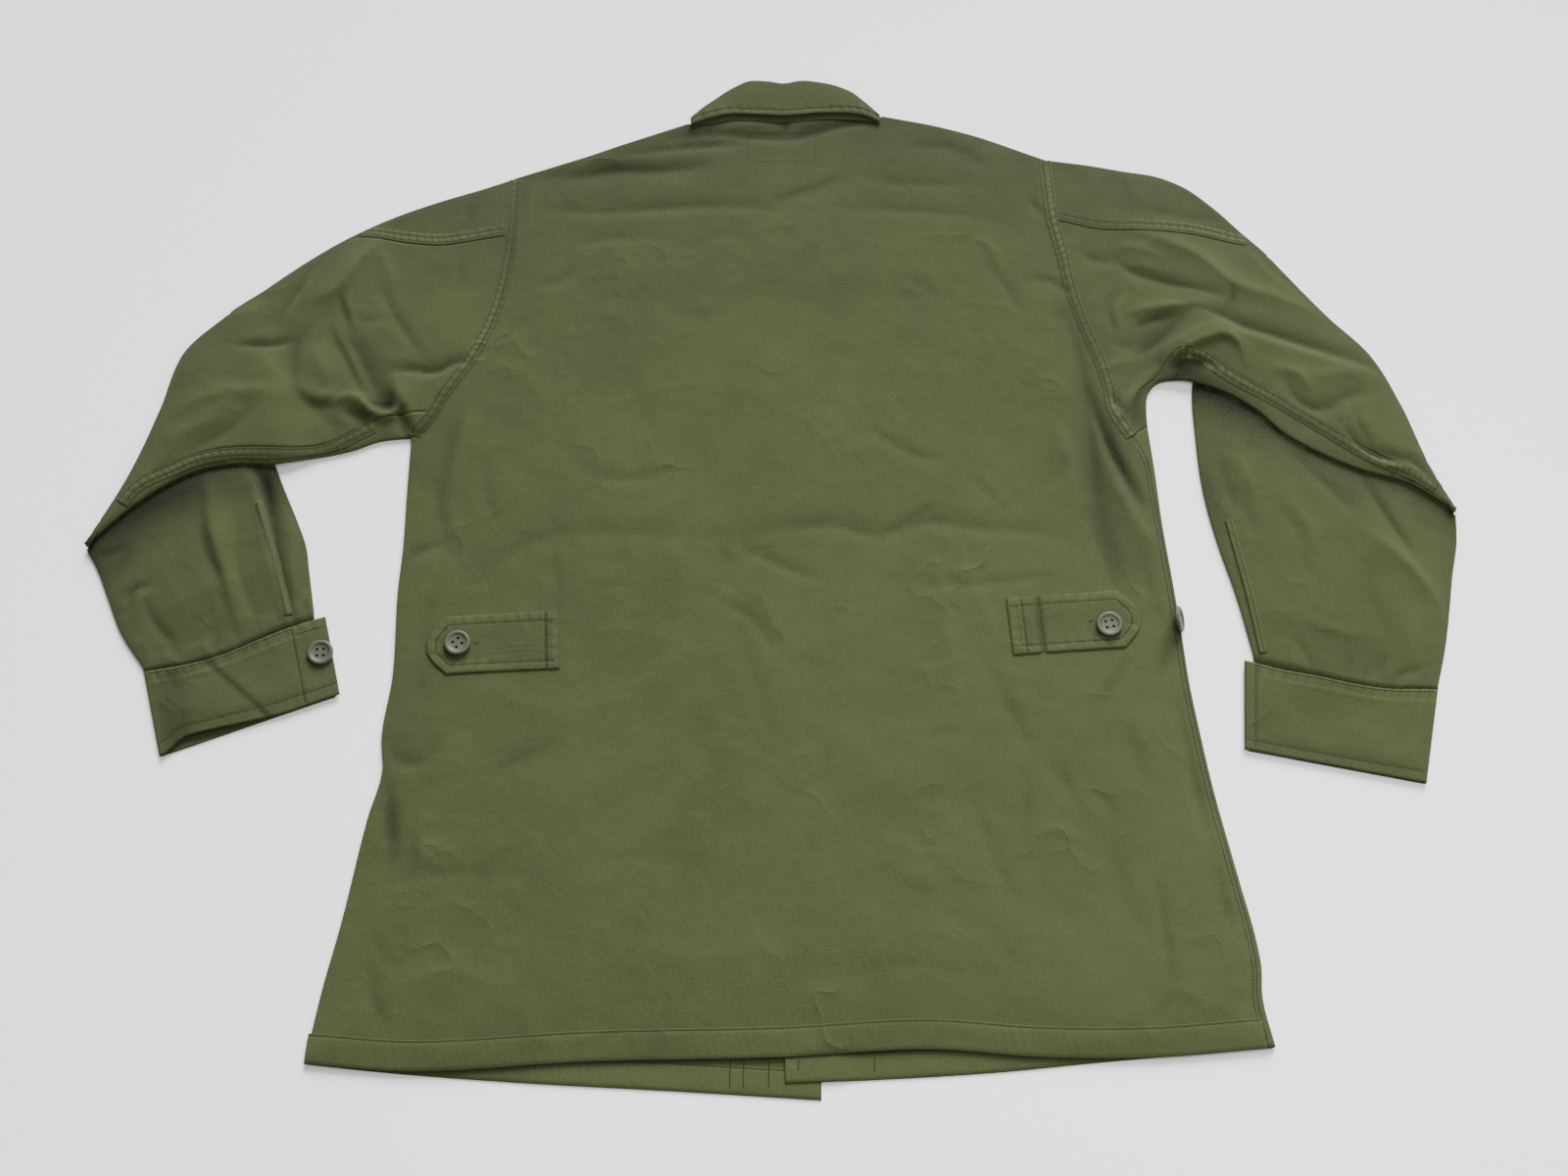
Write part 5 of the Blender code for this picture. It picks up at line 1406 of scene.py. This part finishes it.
def cuff_look(side, at, share):
    """Height added by the cuff's rows of thread and, on the left, by two soft folds."""
    wrist, hem = cuff_lines(side)
    deep = np.linalg.norm(hem[0] - wrist[0])
    from_top, from_hem = share * deep, (1 - share) * deep
    from_fold = length(wrist) - INSET - at
    look = (margin_look(from_hem, CUFF_HEM_STITCH[side], 41, at, 0.16)
            + 0.4 * margin_look(from_top, CUFF_TOP_STITCH, 43, at, 0.4)
            + margin_look(at, CUFF_END_STITCH[side], 45, from_top, 0.12))
    look += 0.35 * np.exp(-(((from_top - 9.5) / 1.3) ** 2)) * soft(at / 40)
    look += 0.3 * np.exp(-from_top / 6) + 1.3 * np.exp(-from_top / 8) * (
        puckers(at + 0.2 * from_top, 44, 8.0) - 0.5)
    if side == "left":
        look -= 1.0 * np.exp(-np.abs(from_fold - 17) / 7) * soft(from_top / 8)
        look -= 0.8 * np.exp(-(((from_fold - 42 - 0.6 * from_top) / 2.8) ** 2))
    return look


def cuff_spot(side, at, share, rise=0.0):
    """Points of the cuff's upper layer: at is the length along its upper edge, share goes
    from that edge to the hem. Its middle stands a little proud, except near the button."""
    wrist, hem = cuff_lines(side)
    wide = length(wrist)
    at, share = np.broadcast_arrays(at, share)
    deep = np.linalg.norm(hem[0] - wrist[0])
    mouth = cuff_mouth(side, at) * share
    down = (share * (1 - mouth / deep))[..., None]
    flat = ((1 - down) * points_at(wrist, at.ravel()).reshape(*at.shape, 2)
            + down * points_at(hem, at.ravel() / wide * length(hem)).reshape(*at.shape, 2))
    x, y = split(flat)
    from_end, from_fold = at, wide - INSET - at
    dome = 1.3 * soft(from_end / 30) * soft(from_fold / 22) * soft((1 - share) * deep / 18)
    dome *= soft((np.hypot(x - CUFF_BUTTON[0], y - CUFF_BUTTON[1]) - 9) / 20)
    look = cuff_look(side, at, share)
    z = EDGE_TOP + dome * (1 + 0.4 * waves(x, y, 60, 47)) + look * soft(from_fold / 3)
    return at_height(flat, z + 0.28 * mouth + rise)


def cuff(side):
    """A cuff as one strip: upper layer, outer edge, lower layer, and the end between."""
    wrist, hem = cuff_lines(side)
    wide = length(wrist)
    inner = OVERHANG + INSET
    upper = np.linspace(0, wide - INSET, CUFF_COLUMNS + 1)
    lower = np.linspace(inner, wide - INSET, CUFF_COLUMNS // 2 + 1)
    lap = np.linspace(inner, UNDERLAP * wide, 16)
    out = unit(wrist[-1] - wrist[0])
    rows, tones = [], []
    for share in np.linspace(0.3 / 60, 1, CUFF_ROWS + 1):
        top = cuff_spot(side, upper, share)
        top[-1, 2] = EDGE_TOP
        bottom, middle = (
            at_height((1 - share) * points_at(wrist, at)
                      + share * points_at(hem, at / wide * length(hem)), z)
            for at, z in ((lower, TABLE), (lap, TABLE + LAYER)))
        outer = turn(top[-1], bottom[-1], out)
        under = turn(middle[0], bottom[0], -out)[::-1]
        rows.append(np.concatenate([top, outer, bottom[::-1], under, middle]))
        # The upper layer's tone: painted shade and highlight from its rows of thread and its
        # folds.
        seen = stitch_shade_and_wear(cuff_look(side, upper, share))
        tones.append(np.r_[seen, np.zeros(len(rows[-1]) - len(seen))])
    return np.array(rows), np.array(tones)


for side in CUFFS:
    grid, tone = cuff(side)
    cloth(f"cuff_band_{side}", [grid], tones=[tone])
    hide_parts(f"cuff_{side}")

# %% [markdown]
# ## Sleeve slits and waist tabs
# Above each cuff a narrow strip binds the slit in the sleeve. On each side of the waist a
# pointed tab, sewn down at its root and buttoned near its tip, can take in the back. A tab
# is two layers of cloth turned out like a small pocket, which makes its edges round and
# its margin slightly puffed between edge and thread.

# %% Slit strips
PLACKET_WIDTH = 9.0
PLACKETS = {
    "left": ((-381, 28), (-365, -17), (-352, -60)),
    "right": ((337, 16), (350, -58), (354, -88)),
}
LIE_GAP = 0.45


def on_forearm(side):
    return lambda x, y: forearm_top(SLEEVES[side], side, x, y)


def strip_on(path, width, height, high_side, columns=9, pitch=1.3):
    """A flat strip of even width along a path, on a surface: its free side, to the left
    of the path or the right, stands a wall and a gap clear, and the sewn side lies low."""
    middle = points_at(smooth(path), np.arange(0, length(smooth(path)), pitch))
    side = normals(middle)
    offset = np.linspace(-width / 2, width / 2, columns)
    flat = middle[:, None] + side[:, None] * offset[None, :, None]
    x, y = split(flat)
    look = margin_look(width / 2 - np.abs(offset)[None] + 0 * x, 1.6, 51, y, 0.15)
    free = soft(0.5 + high_side * offset / width)[None]
    return at_height(flat, height(x, y) + WALL * (1.35 * free - 0.55) + LIE_GAP * free + look)


for side, path in PLACKETS.items():
    cloth(f"slit_strip_{side}", [
        strip_on(path, PLACKET_WIDTH, on_forearm(side), 1 if side == "left" else -1)])
    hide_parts(f"placket_{side}")

# %% Waist tabs
TAB_LENGTH, TAB_WIDTH, TAB_WALL = 95.0, 44.0, 1.1
TAB_TIP = ((0, 4), (0.8, 6.3), (5, 13), (14, 22))  # distance from the tip, half-width
TABS = {"left": ((-153.5, -79.5), 183.0), "right": ((170.5, -69.5), 4.5)}
TAB_STITCH = 6.5
ROOT_STITCH = {"left": 9.6, "right": 10.5}


def tab_frame(side):
    """A tab's root, the way it runs and the way across it."""
    root, turned = TABS[side]
    turned = math.radians(turned)
    run = np.array([math.cos(turned), math.sin(turned)])
    return np.array(root), run, np.array([-run[1], run[0]])


def tab_half_width(at):
    from_tip, half = np.array(TAB_TIP, float).T
    return np.interp(TAB_LENGTH - at, from_tip, half * TAB_WIDTH / 2 / half[-1])


def tab_look(side, at, across):
    """Height added by a tab's rows of thread and, on the right, by a crease."""
    line = np.r_[0, TAB_LENGTH - np.array([14, 5, 0.8, 0])]
    half = tab_half_width(line)
    outline = np.concatenate([np.stack([line, half], 1), np.stack([line, -half], 1)[::-1]])
    gap = depth(outline, at, across)
    along = np.where(at < 9, across, np.where(at > TAB_LENGTH - 16, 0.6 * at + across, at))
    look = margin_look(gap, TAB_STITCH, 61, 0.8 * along, 0.85)
    look = look - 0.4 * np.exp(-(((at - ROOT_STITCH[side]) / 0.9) ** 2))
    return look - 1.1 * np.exp(-(((at - 22) / 2.2) ** 2)) * (side == "right")


def tab_spot(side, at, across, rise=0.0):
    """Points of a tab, given lengths from its root and across it: on the highest of the
    back's cloth near by, with its margin's look."""
    root, run, over = tab_frame(side)
    at, across = np.broadcast_arrays(np.asarray(at, float), np.asarray(across, float))
    flat = root + at[..., None] * run + across[..., None] * over
    x, y = split(flat)
    z = np.max([body_top(x + dx, y + dy) for dx, dy in (
        (0, 0), (4, 0), (-4, 0), (0, 4), (0, -4))], axis=0)
    z = z + (WALL + TAB_WALL) / 2
    return at_height(flat, z + tab_look(side, at, across) + rise)


tabs, tab_grids = {}, {}
for side in TABS:
    at = np.linspace(0, TAB_LENGTH, 96)[:, None]
    across = np.linspace(-1, 1, 45)[None, :] * tab_half_width(at)
    tab_grids[side] = tab_spot(side, at + 0 * across, across)
    # The tab's tone: painted shade and highlight from its stitched margin.
    tone = stitch_shade_and_wear(tab_look(side, at + 0 * across, across))
    tabs[side] = cloth(f"waist_tab_{side}", [tab_grids[side]], wall=TAB_WALL, tones=[tone])
    rounded = tabs[side].modifiers.new("edge", "BEVEL")
    rounded.width, rounded.segments, rounded.limit_method = 0.45 * MM, 2, "ANGLE"
    rounded.angle_limit = math.radians(50)
    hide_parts(f"tab_{side}")

# %% [markdown]
# ## Felled seams and hems
# Where two panels join, their edges are folded into each other and sewn down twice, which
# leaves a band about ten millimetres wide that stands half a millimetre proud. The
# hems are turned up in the same way. A boolean or a displaced panel would need a very fine
# grid everywhere, so each band is a slim closed strip instead: a small profile carried
# along the seam on the panel's own surface, with its lower half inside the cloth.

# %% Carry a profile along a way
FELL = np.array((  # offset from the sharp edge in mm, rise in mm, share of pucker
    (0.0, 0.1, 0), (-0.1, 0.7, 0), (0.1, 1.1, 0), (0.5, 1.22, 0.1), (0.9, 1.1, 0.1),
    (1.35, 0.72, 0), (1.8, 0.92, 0.5), (2.6, 1.0, 0.9), (3.7, 1.02, 1), (4.8, 1.0, 0.9),
    (5.7, 0.9, 0.5), (6.2, 0.66, 0), (6.7, 0.84, 0.4), (7.6, 0.82, 0.6), (8.8, 0.62, 0.5),
    (10.2, 0.42, 0.2), (10.2, 0.1, 0), (0.0, 0.1, 0)))
FELL_ROWS = (1.35, 6.2)
HEM = np.array((  # offset from the free edge inland in mm, rise in mm, share of pucker
    (20.2, 0.1, 0), (20.2, 0.6, 0.2), (20.0, 0.92, 0.4), (19.4, 0.98, 0.6), (18.8, 0.66, 0),
    (18.2, 0.98, 0.8), (15.5, 1.06, 1), (11.5, 1.08, 1), (7.5, 1.06, 1), (3.0, 1.02, 0.9),
    (0.4, 0.85, 0.4), (-0.15, 0.45, 0.2), (-0.25, 0, 0), (-0.15, -0.3, 0),
    (0.4, -0.47, 0), (9, -0.48, 0), (19.2, -0.4, 0), (20.2, -0.1, 0), (20.2, 0.1, 0)))
HEM_ROW, HEM_PUCKER = 18.8, 0.35
FRONT_HEM = 0.95  # width of the fronts' hems, as a share of the back's
ON_BAND, ON_MARGIN, ON_CLOTH = 0.8, 0.62, 0.55  # how high thread lies on each, in mm
EDGE_ROOM = INSET - 0.1  # how near to a folded edge a band may come


def carry(path, profile, height, wrap=(0, 0), seed=71, pucker=0.55, inside=None):
    """Rows of the profile's points along a path, each at the surface's height plus its
    rise along the normal. At an end that wraps, the rows go on round the folded edge,
    on a half circle of the fold's radius. Within an outline, a row that would reach its
    folded edge is drawn in as far as it must."""
    offset, rise, share = profile.T
    side = normals(path)
    flat = path[:, None] + side[:, None] * offset[None, :, None]
    if inside is not None:
        reach = np.zeros(flat.shape[:2])
        for part in np.linspace(0.1, 1, 10):
            place = path[:, None] + (flat - path[:, None]) * part
            clear = depth(inside, *split(place)) >= EDGE_ROOM
            reach = np.where(clear & (reach >= part - 0.11), part, reach)
        flat = path[:, None] + (flat - path[:, None]) * reach[..., None]
    x, y = split(flat)
    base = at_height(flat, height(x, y))
    along = points_run(path)[:, None] + 0.3 * offset[None]
    rises = rise + pucker * share * (puckers(along, seed) - 0.3)
    points = base + rises[..., None] * (0, 0, 1)
    for end, degrees in ((0, wrap[0]), (-1, wrap[1])):
        if not degrees:
            continue
        out = unit(path[end] - path[1 if end == 0 else -2])
        angles = np.radians(90 - np.linspace(0, degrees, 9)[1:])
        up = np.array([(*(out * math.cos(a)), math.sin(a)) for a in angles])[:, None]
        ring = (base[end] - (0, 0, FOLD)) + up * (FOLD + rise[:, None])
        points = np.concatenate([ring[::-1], points] if end == 0 else [points, ring])
    return points


def band(name, way, profile, height, wrap=(0, 0), seed=71, pitch=1.3, inside=None,
         pucker_shade_and_rub=1.3):
    """A closed strip with the profile carried along a way, and its two ends filled. Where
    an outline is given, the part of the way nearer to it than a folded edge is left out.
    Its tone is painted shade and highlight: its grooves and the puckers' valleys darker, its
    tops and the puckers' ridges paler, partly as rubbing; the last argument weights the
    puckers."""
    path = smooth(way)
    if inside is not None:
        path = path[depth(inside, *path.T) >= EDGE_ROOM]
    path = points_at(path, np.arange(0, length(path), pitch))
    grid = carry(path, profile, height, wrap, seed, inside=inside)
    rows, columns = grid.shape[:2]
    index = np.arange(rows * columns).reshape(rows, columns)
    faces = quads(index).tolist() + [index[0, :-1].tolist(), index[-1, :-1][::-1].tolist()]
    # Painted shade in the band's grooves and the puckers' valleys, paler tops partly rubbed
    # and partly painted highlight.
    tone = np.clip((profile[:, 1] - 0.95) * 1.3, -0.45, 0.3) * (profile[:, 1] > 0.6)
    along = np.arange(rows)[:, None] * pitch + 0.3 * profile[:, 0]
    tone = (tone + pucker_shade_and_rub * profile[:, 2] * (puckers(along, seed) - 0.55)).ravel()
    piece = object_from(name, to_frame(grid.reshape(-1, 3)), faces,
                        cloth_lengths(grid), tone, cotton_outer)
    return piece, path


def shifted(way, by, left=True):
    """A way moved sideways by a length."""
    path = curve(way, 60)
    return path + normals(path, left) * by


# %% Bands of the torso
bands = {key: [] for key in (
    "back", "front_left", "front_right", "top_left", "top_right", "under_left",
    "under_right")}
thread = {key: [] for key in (
    "back", "front_left", "front_right", "sleeve_left", "sleeve_right", "collar",
    "cuff_left", "cuff_right", "tab_left", "tab_right")}


def sew(group, points):
    """Note a row of thread, given as points in millimetres."""
    thread[group].append(np.asarray(points, float))


def sew_on(group, way, height, rise=ON_CLOTH):
    """A row of thread along a way, at a rise over a surface."""
    path = smooth(way)
    path = points_at(path, np.arange(0, length(path), 1.4))
    sew(group, at_height(path, height(*path.T) + rise))


def felled(name, key, group, way, height, flip=False, wrap=(0, 0), seed=71, inside=None):
    """A felled seam's band with its two rows of thread. It lies on the left of the way,
    which is its sharp edge, or flipped on its right."""
    sign = -1.0 if flip else 1.0
    profile = FELL * (sign, 1, 1)
    piece, path = band(name, way, profile, height, wrap, seed, inside=inside)
    bands[key].append(piece)
    for offset in FELL_ROWS:
        row = np.array(((sign * offset, ON_BAND, 0),))
        sew(group, carry(path, row, height, wrap, inside=inside)[:, 0])


felled("armhole_seam_left", "back", "back", shifted(LEFT_ARMHOLE, 4.4), body_top, True,
       wrap=(0, 120), seed=71, inside=BODY_OUTLINE)
felled("armhole_seam_right", "back", "back", shifted(RIGHT_ARMHOLE, 4.4, left=False),
       body_top, wrap=(0, 120), seed=73, inside=BODY_OUTLINE)

hem_way = (body["upper"][0, 0, :2], *BACK_HEM[1:-1], body["upper"][0, -1, :2])
hem_band, hem_path = band("hem_back", hem_way, HEM * (1, 1, HEM_PUCKER), body_top,
                          wrap=(120, 0), seed=75, pucker_shade_and_rub=0.5)
bands["back"].append(hem_band)
sew("back", carry(hem_path, np.array(((HEM_ROW, ON_BAND, 0),)), body_top, (110, 0))[:, 0])

# %% Bands of the fronts
def left_front_top(x, y):
    return TABLE + leaf_rise(x, y)


def right_front_top(x, y):
    return left_front_top(x, y) + LAYER * (1 - soft((x - LEFT_FLY_X - FLY_MARGIN) / FLY_STEP))


for side, way, height in (
    ("left", body["left_front"][0, :, :2], left_front_top),
    ("right", body["right_front"][0, :, :2], right_front_top),
):
    key = f"front_{side}"
    piece, path = band(f"hem_{key}", way, HEM * (FRONT_HEM, 1, HEM_PUCKER), height, seed=77,
                       pucker_shade_and_rub=0.5)
    bands[key].append(piece)
    sew(key, carry(path, np.array(((FRONT_HEM * HEM_ROW, ON_BAND, 0),)), height)[:, 0])

for x in (-28.0, -19.0, -2.0):
    sew_on("front_left", ((x, -395), (x, -385), (x + 1, -374)), left_front_top, 1.5)
for x in (17.8, 68.8):
    sew_on("front_right", ((x, -384), (x, -379), (x, -374)), right_front_top, 1.5)

# %% Bands of the sleeves
def on_arm(side):
    return lambda x, y: arm_top(SLEEVES[side], x, y)


for k, side in enumerate(SLEEVES):
    left = side == "left"
    felled(f"rear_seam_{side}", f"under_{side}", f"sleeve_{side}", REAR_SEAM[side],
           on_arm(side), left, seed=81 + 2 * k, inside=BODY_OUTLINE)
    felled(f"inseam_{side}", f"under_{side}", f"sleeve_{side}",
           INSEAM[side][1 if left else 2:], on_arm(side), not left, seed=85 + 2 * k,
           inside=BODY_OUTLINE)
print("bands:", {key: len(pieces) for key, pieces in bands.items()})

# %% [markdown]
# ## Buttons
# Each button is turned on a lathe: a raised rim, a dished middle and a flat back. Spinning
# a half profile round the axis gives just that, and four small holes are then cut through
# with a boolean, as a drill would. At this size the holes read as four dark dots.

# %% Buttons
BUTTON_RADIUS = 9.5
HOLE_OFFSET, HOLE_RADIUS = 2.4, 1.05
BUTTON_PROFILE = np.array((  # radius, height
    (0, 0), (7.6, 0), (8.8, 0.25), (9.4, 0.9), (9.5, 1.7), (9.3, 2.4), (8.8, 2.85),
    (8.1, 3.0), (7.3, 2.95), (6.7, 2.65), (6.2, 2.2), (5.5, 1.95), (3.0, 1.9), (0, 1.9)))
SPOKES = 64


def lathe(name, profile, spokes=SPOKES):
    """A closed solid: the profile's radius and height turned round the Z axis, its two
    ends on the axis made one point each."""
    angle = np.linspace(0, math.tau, spokes, endpoint=False)
    radius, height = profile[1:-1].T
    ring = np.stack([np.outer(radius, np.cos(angle)), np.outer(radius, np.sin(angle)),
                     np.outer(height, np.ones(spokes))], axis=-1)
    index = np.arange(ring[..., 0].size).reshape(len(radius), spokes)
    wrapped = np.concatenate([index, index[:, :1]], axis=1)
    points = np.concatenate([ring.reshape(-1, 3), [(0, 0, profile[0, 1]),
                                                   (0, 0, profile[-1, 1])]])
    low, high = len(points) - 2, len(points) - 1
    faces = quads(wrapped).tolist()
    faces += [[low, b, a] for a, b in zip(wrapped[0, :-1], wrapped[0, 1:])]
    faces += [[high, a, b] for a, b in zip(wrapped[-1, :-1], wrapped[-1, 1:])]
    mesh = bpy.data.meshes.new(name)
    mesh.from_pydata((points * MM).tolist(), [], faces)
    bm = bmesh.new()
    bm.from_mesh(mesh)
    bmesh.ops.recalc_face_normals(bm, faces=bm.faces)
    bm.to_mesh(mesh)
    bm.free()
    return mesh


def placed_mesh(mesh, centre, lean, spin):
    """Turns a mesh's points by spin about its axis, tips the axis from upright towards
    +X until it is raised by the lean, and moves them to centre, a place in the tables."""
    count = len(mesh.vertices)
    points = np.empty(count * 3, np.float32)
    mesh.vertices.foreach_get("co", points)
    points = points.reshape(-1, 3).astype(float)
    spin, tip = math.radians(spin), math.radians(90 - lean)
    about = np.array(((math.cos(spin), -math.sin(spin), 0),
                      (math.sin(spin), math.cos(spin), 0), (0, 0, 1)))
    over = np.array(((math.cos(tip), 0, math.sin(tip)), (0, 1, 0),
                     (-math.sin(tip), 0, math.cos(tip))))
    points = points @ about.T @ over.T + to_frame(centre)
    mesh.vertices.foreach_set("co", points.astype(np.float32).ravel())
    mesh.update()


def button_mesh():
    """The lathed disc less four cylinders."""
    disc = new_object("disc", lathe("disc", BUTTON_PROFILE))
    drill = new_object("drill", bpy.data.meshes.new("drill"))
    bm = bmesh.new()
    for sx in (-1, 1):
        for sy in (-1, 1):
            made = bmesh.ops.create_cone(
                bm, cap_ends=True, segments=20, radius1=HOLE_RADIUS * MM,
                radius2=HOLE_RADIUS * MM, depth=8 * MM)
            bmesh.ops.translate(bm, verts=made["verts"],
                                vec=(sx * HOLE_OFFSET * MM, sy * HOLE_OFFSET * MM, 0))
    bm.to_mesh(drill.data)
    bm.free()
    cut = disc.modifiers.new("holes", "BOOLEAN")
    cut.operation, cut.solver, cut.object = "DIFFERENCE", "EXACT", drill
    result = bpy.data.meshes.new_from_object(
        disc.evaluated_get(bpy.context.evaluated_depsgraph_get()))
    for each in (disc, drill):
        bpy.data.objects.remove(each, do_unlink=True)
    return result


drilled = button_mesh()
print("button faces:", len(drilled.polygons))


def button(name, node_name, centre, lean=90.0, spin=0.0):
    mesh = drilled.copy()
    mesh.name = name
    placed_mesh(mesh, centre, lean, spin)
    mesh.materials.clear()
    mesh.materials.append(button_plastic)
    mesh.shade_smooth()
    mesh.set_sharp_from_angle(angle=math.radians(50))
    piece = new_object(name, mesh)
    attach(piece, "root")
    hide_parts(node_name)


def beside_edge(y, lean):
    """Where the back of the side button goes, against the right folded edge."""
    edge = np.array(sorted(RIGHT_SIDE, key=lambda point: point[1]), float)
    x, z = np.interp(y, edge[:, 1], edge[:, 0]) - INSET, TABLE + FOLD
    lean = math.radians(lean)
    off = INSET + GAP
    high = TABLE + BUTTON_RADIUS * math.cos(lean)
    up = (high - z - off * math.sin(lean)) / math.cos(lean)
    return np.array([x + off * math.cos(lean) - up * math.sin(lean), y, high])


TAB_BUTTONS = {"left": ((-226, -83), 38.0), "right": ((242, -68.5), 12.0)}
for side, (place, spin) in TAB_BUTTONS.items():
    grid = tab_grids[side]
    near = np.hypot(grid[..., 0] - place[0], grid[..., 1] - place[1]) < BUTTON_RADIUS + 12
    high = grid[near][:, 2].max() + TAB_WALL / 2 + 0.1
    button(f"tab_button_{side}", f"button_tab_{side}", (*place, high), spin=spin)
button("cuff_button", "button_cuff_left", (*CUFF_BUTTON, EDGE_TOP + WALL / 2 + 0.15), spin=3)
button("side_button", "button_side_right", beside_edge(-64.0, 24.0), lean=24.0, spin=20)

# %% [markdown]
# ## Thread
# A lockstitch shows as a row of short raised dashes with small gaps, each dash pulled down
# at its two ends. Every dash here is a tiny spindle with ten points. They are laid out
# along all rows of a panel at once, as arrays, and joined into one mesh for each panel.

# %% Rows of thread
def ring_along(way3d, pitch, gap):
    """Start and end points of the dashes along a row."""
    start = np.arange(0, length(way3d) - pitch, pitch)
    return points_at(way3d, start), points_at(way3d, start + pitch - gap)


for side in TABS:  # round each tab, and across its root
    line = TAB_LENGTH - TAB_STITCH
    tip = tab_half_width(TAB_LENGTH - 14.0) - TAB_STITCH
    ways = [((0.5, -tip), (line - 9.5, -tip), (line, -4.5), (line, 4.5), (line - 9.5, tip),
             (0.5, tip)), ((ROOT_STITCH[side], -21.5), (ROOT_STITCH[side], 21.5))]
    if side == "left":
        ways.append(((8.2, -21.5), (8.2, 21.5)))
    ways += [((57.0, 0), (63.0, 0)), ((58.2, -1.7), (59.4, 1.7))]  # buttonhole's bar
    for way in ways:
        corners = np.array(way, float)
        path = points_at(corners, np.arange(0, length(corners), 0.8))
        sew(f"tab_{side}", tab_spot(side, path[:, 0], path[:, 1], TAB_WALL / 2 + 0.12))

for side in CUFFS:
    wrist, hem = cuff_lines(side)
    wide, deep = length(wrist), np.linalg.norm(hem[0] - wrist[0])
    top, end = CUFF_TOP_STITCH / deep, CUFF_END_STITCH[side]
    low = 1 - CUFF_HEM_STITCH[side] / deep
    ways = [((end, top), (wide - 2, top)), ((1, low), (wide - 2, low)),
            ((end, top), (end, 1 - 1.5 / deep))]
    if side == "left":
        ways.append(((2, 7 / deep), (end, 7 / deep)))
    for way in ways:
        corners = np.array(way, float)
        share = np.linspace(0, 1, 160)[:, None]
        at, down = ((1 - share) * corners[0] + share * corners[1]).T
        sew(f"cuff_{side}", cuff_spot(side, at, down, ON_MARGIN))
    sewn = 0.8 if side == "left" else -0.8
    sew_on(f"sleeve_{side}", shifted(PLACKETS[side], sewn), on_forearm(side), 1.15)

row = np.abs(collar_gap - COLLAR_STITCH).argmin(axis=0)
sew("collar", collar_fall[row, np.arange(len(row))] + (0, 0, ON_MARGIN))
LABEL = ((-20, 351), (33, 352), (33, 323), (-20, 322), (-20, 351))
for start, end in zip(LABEL, LABEL[1:]):
    sew_on("back", (start, np.add(start, end) / 2, end), body_top, 0.32)
side_seam_way = body["upper"][:SIDE_ROWS + 1:6, -1, :2]
for by in (-1.6, 1.4):
    sew_on("back", shifted(side_seam_way, by, left=False), body_top)

# %% Threads as meshes
STITCH, STITCH_GAP, THREAD_RADIUS = 2.2, 0.6, 0.36
END_DIP, MIDDLE_RISE = 0.15, 0.12  # how a dash bends down and up along its length


def thread_mesh(name, rows):
    """All the dashes of some rows as one mesh: two end points and two rings of four
    points each, the rings lifted a little."""
    pairs = [ring_along(row, STITCH, STITCH_GAP) for row in rows]
    start = np.concatenate([pair[0] for pair in pairs])
    end = np.concatenate([pair[1] for pair in pairs])
    along = unit(end - start)
    side = unit(np.cross((0.0, 0.0, 1.0), along))
    up = np.cross(along, side)
    points = [start - up * END_DIP, end - up * END_DIP]
    for share in (0.22, 0.78):
        centre = start + (end - start) * share + up * MIDDLE_RISE
        for a, b in ((1, 0), (0, 1), (-1, 0), (0, -1)):
            points.append(centre + side * THREAD_RADIUS * a + up * THREAD_RADIUS * b)
    points = np.stack(points, axis=1)
    pattern = [[0, 2 + (k + 1) % 4, 2 + k] for k in range(4)]
    pattern += [[1, 6 + k, 6 + (k + 1) % 4] for k in range(4)]
    ring = [[2 + k, 2 + (k + 1) % 4, 6 + (k + 1) % 4, 6 + k] for k in range(4)]
    first = np.arange(len(points)) * 10
    faces = (first[:, None, None] + np.array(pattern)).reshape(-1, 3).tolist()
    faces += (first[:, None, None] + np.array(ring)).reshape(-1, 4).tolist()
    flat = points.reshape(-1, 3)
    piece = object_from(name, to_frame(flat), faces, flat[:, :2] * MM, 0.0, cotton_thread)
    return piece, len(points)


threads = {}
for group, rows in thread.items():
    threads[group], count = thread_mesh(f"thread_{group}", rows)
    print(f"thread_{group}: {count} stitches")

# %% [markdown]
# ## Flat sizes
# The mean width and length of the back's grid and of the fronts', which is how they would
# measure laid flat, are printed.

# %% Flat sizes
def flat_of(grid):
    """Mean width and length of a grid, in metres."""
    wide = np.linalg.norm(np.diff(grid, axis=1), axis=2).sum(axis=1).mean()
    long = np.linalg.norm(np.diff(grid, axis=0), axis=2).sum(axis=0).mean()
    return wide * MM, long * MM


print("back:", flat_of(body["upper"]), "fronts:", flat_of(body["left_front"]),
      flat_of(body["right_front"]))
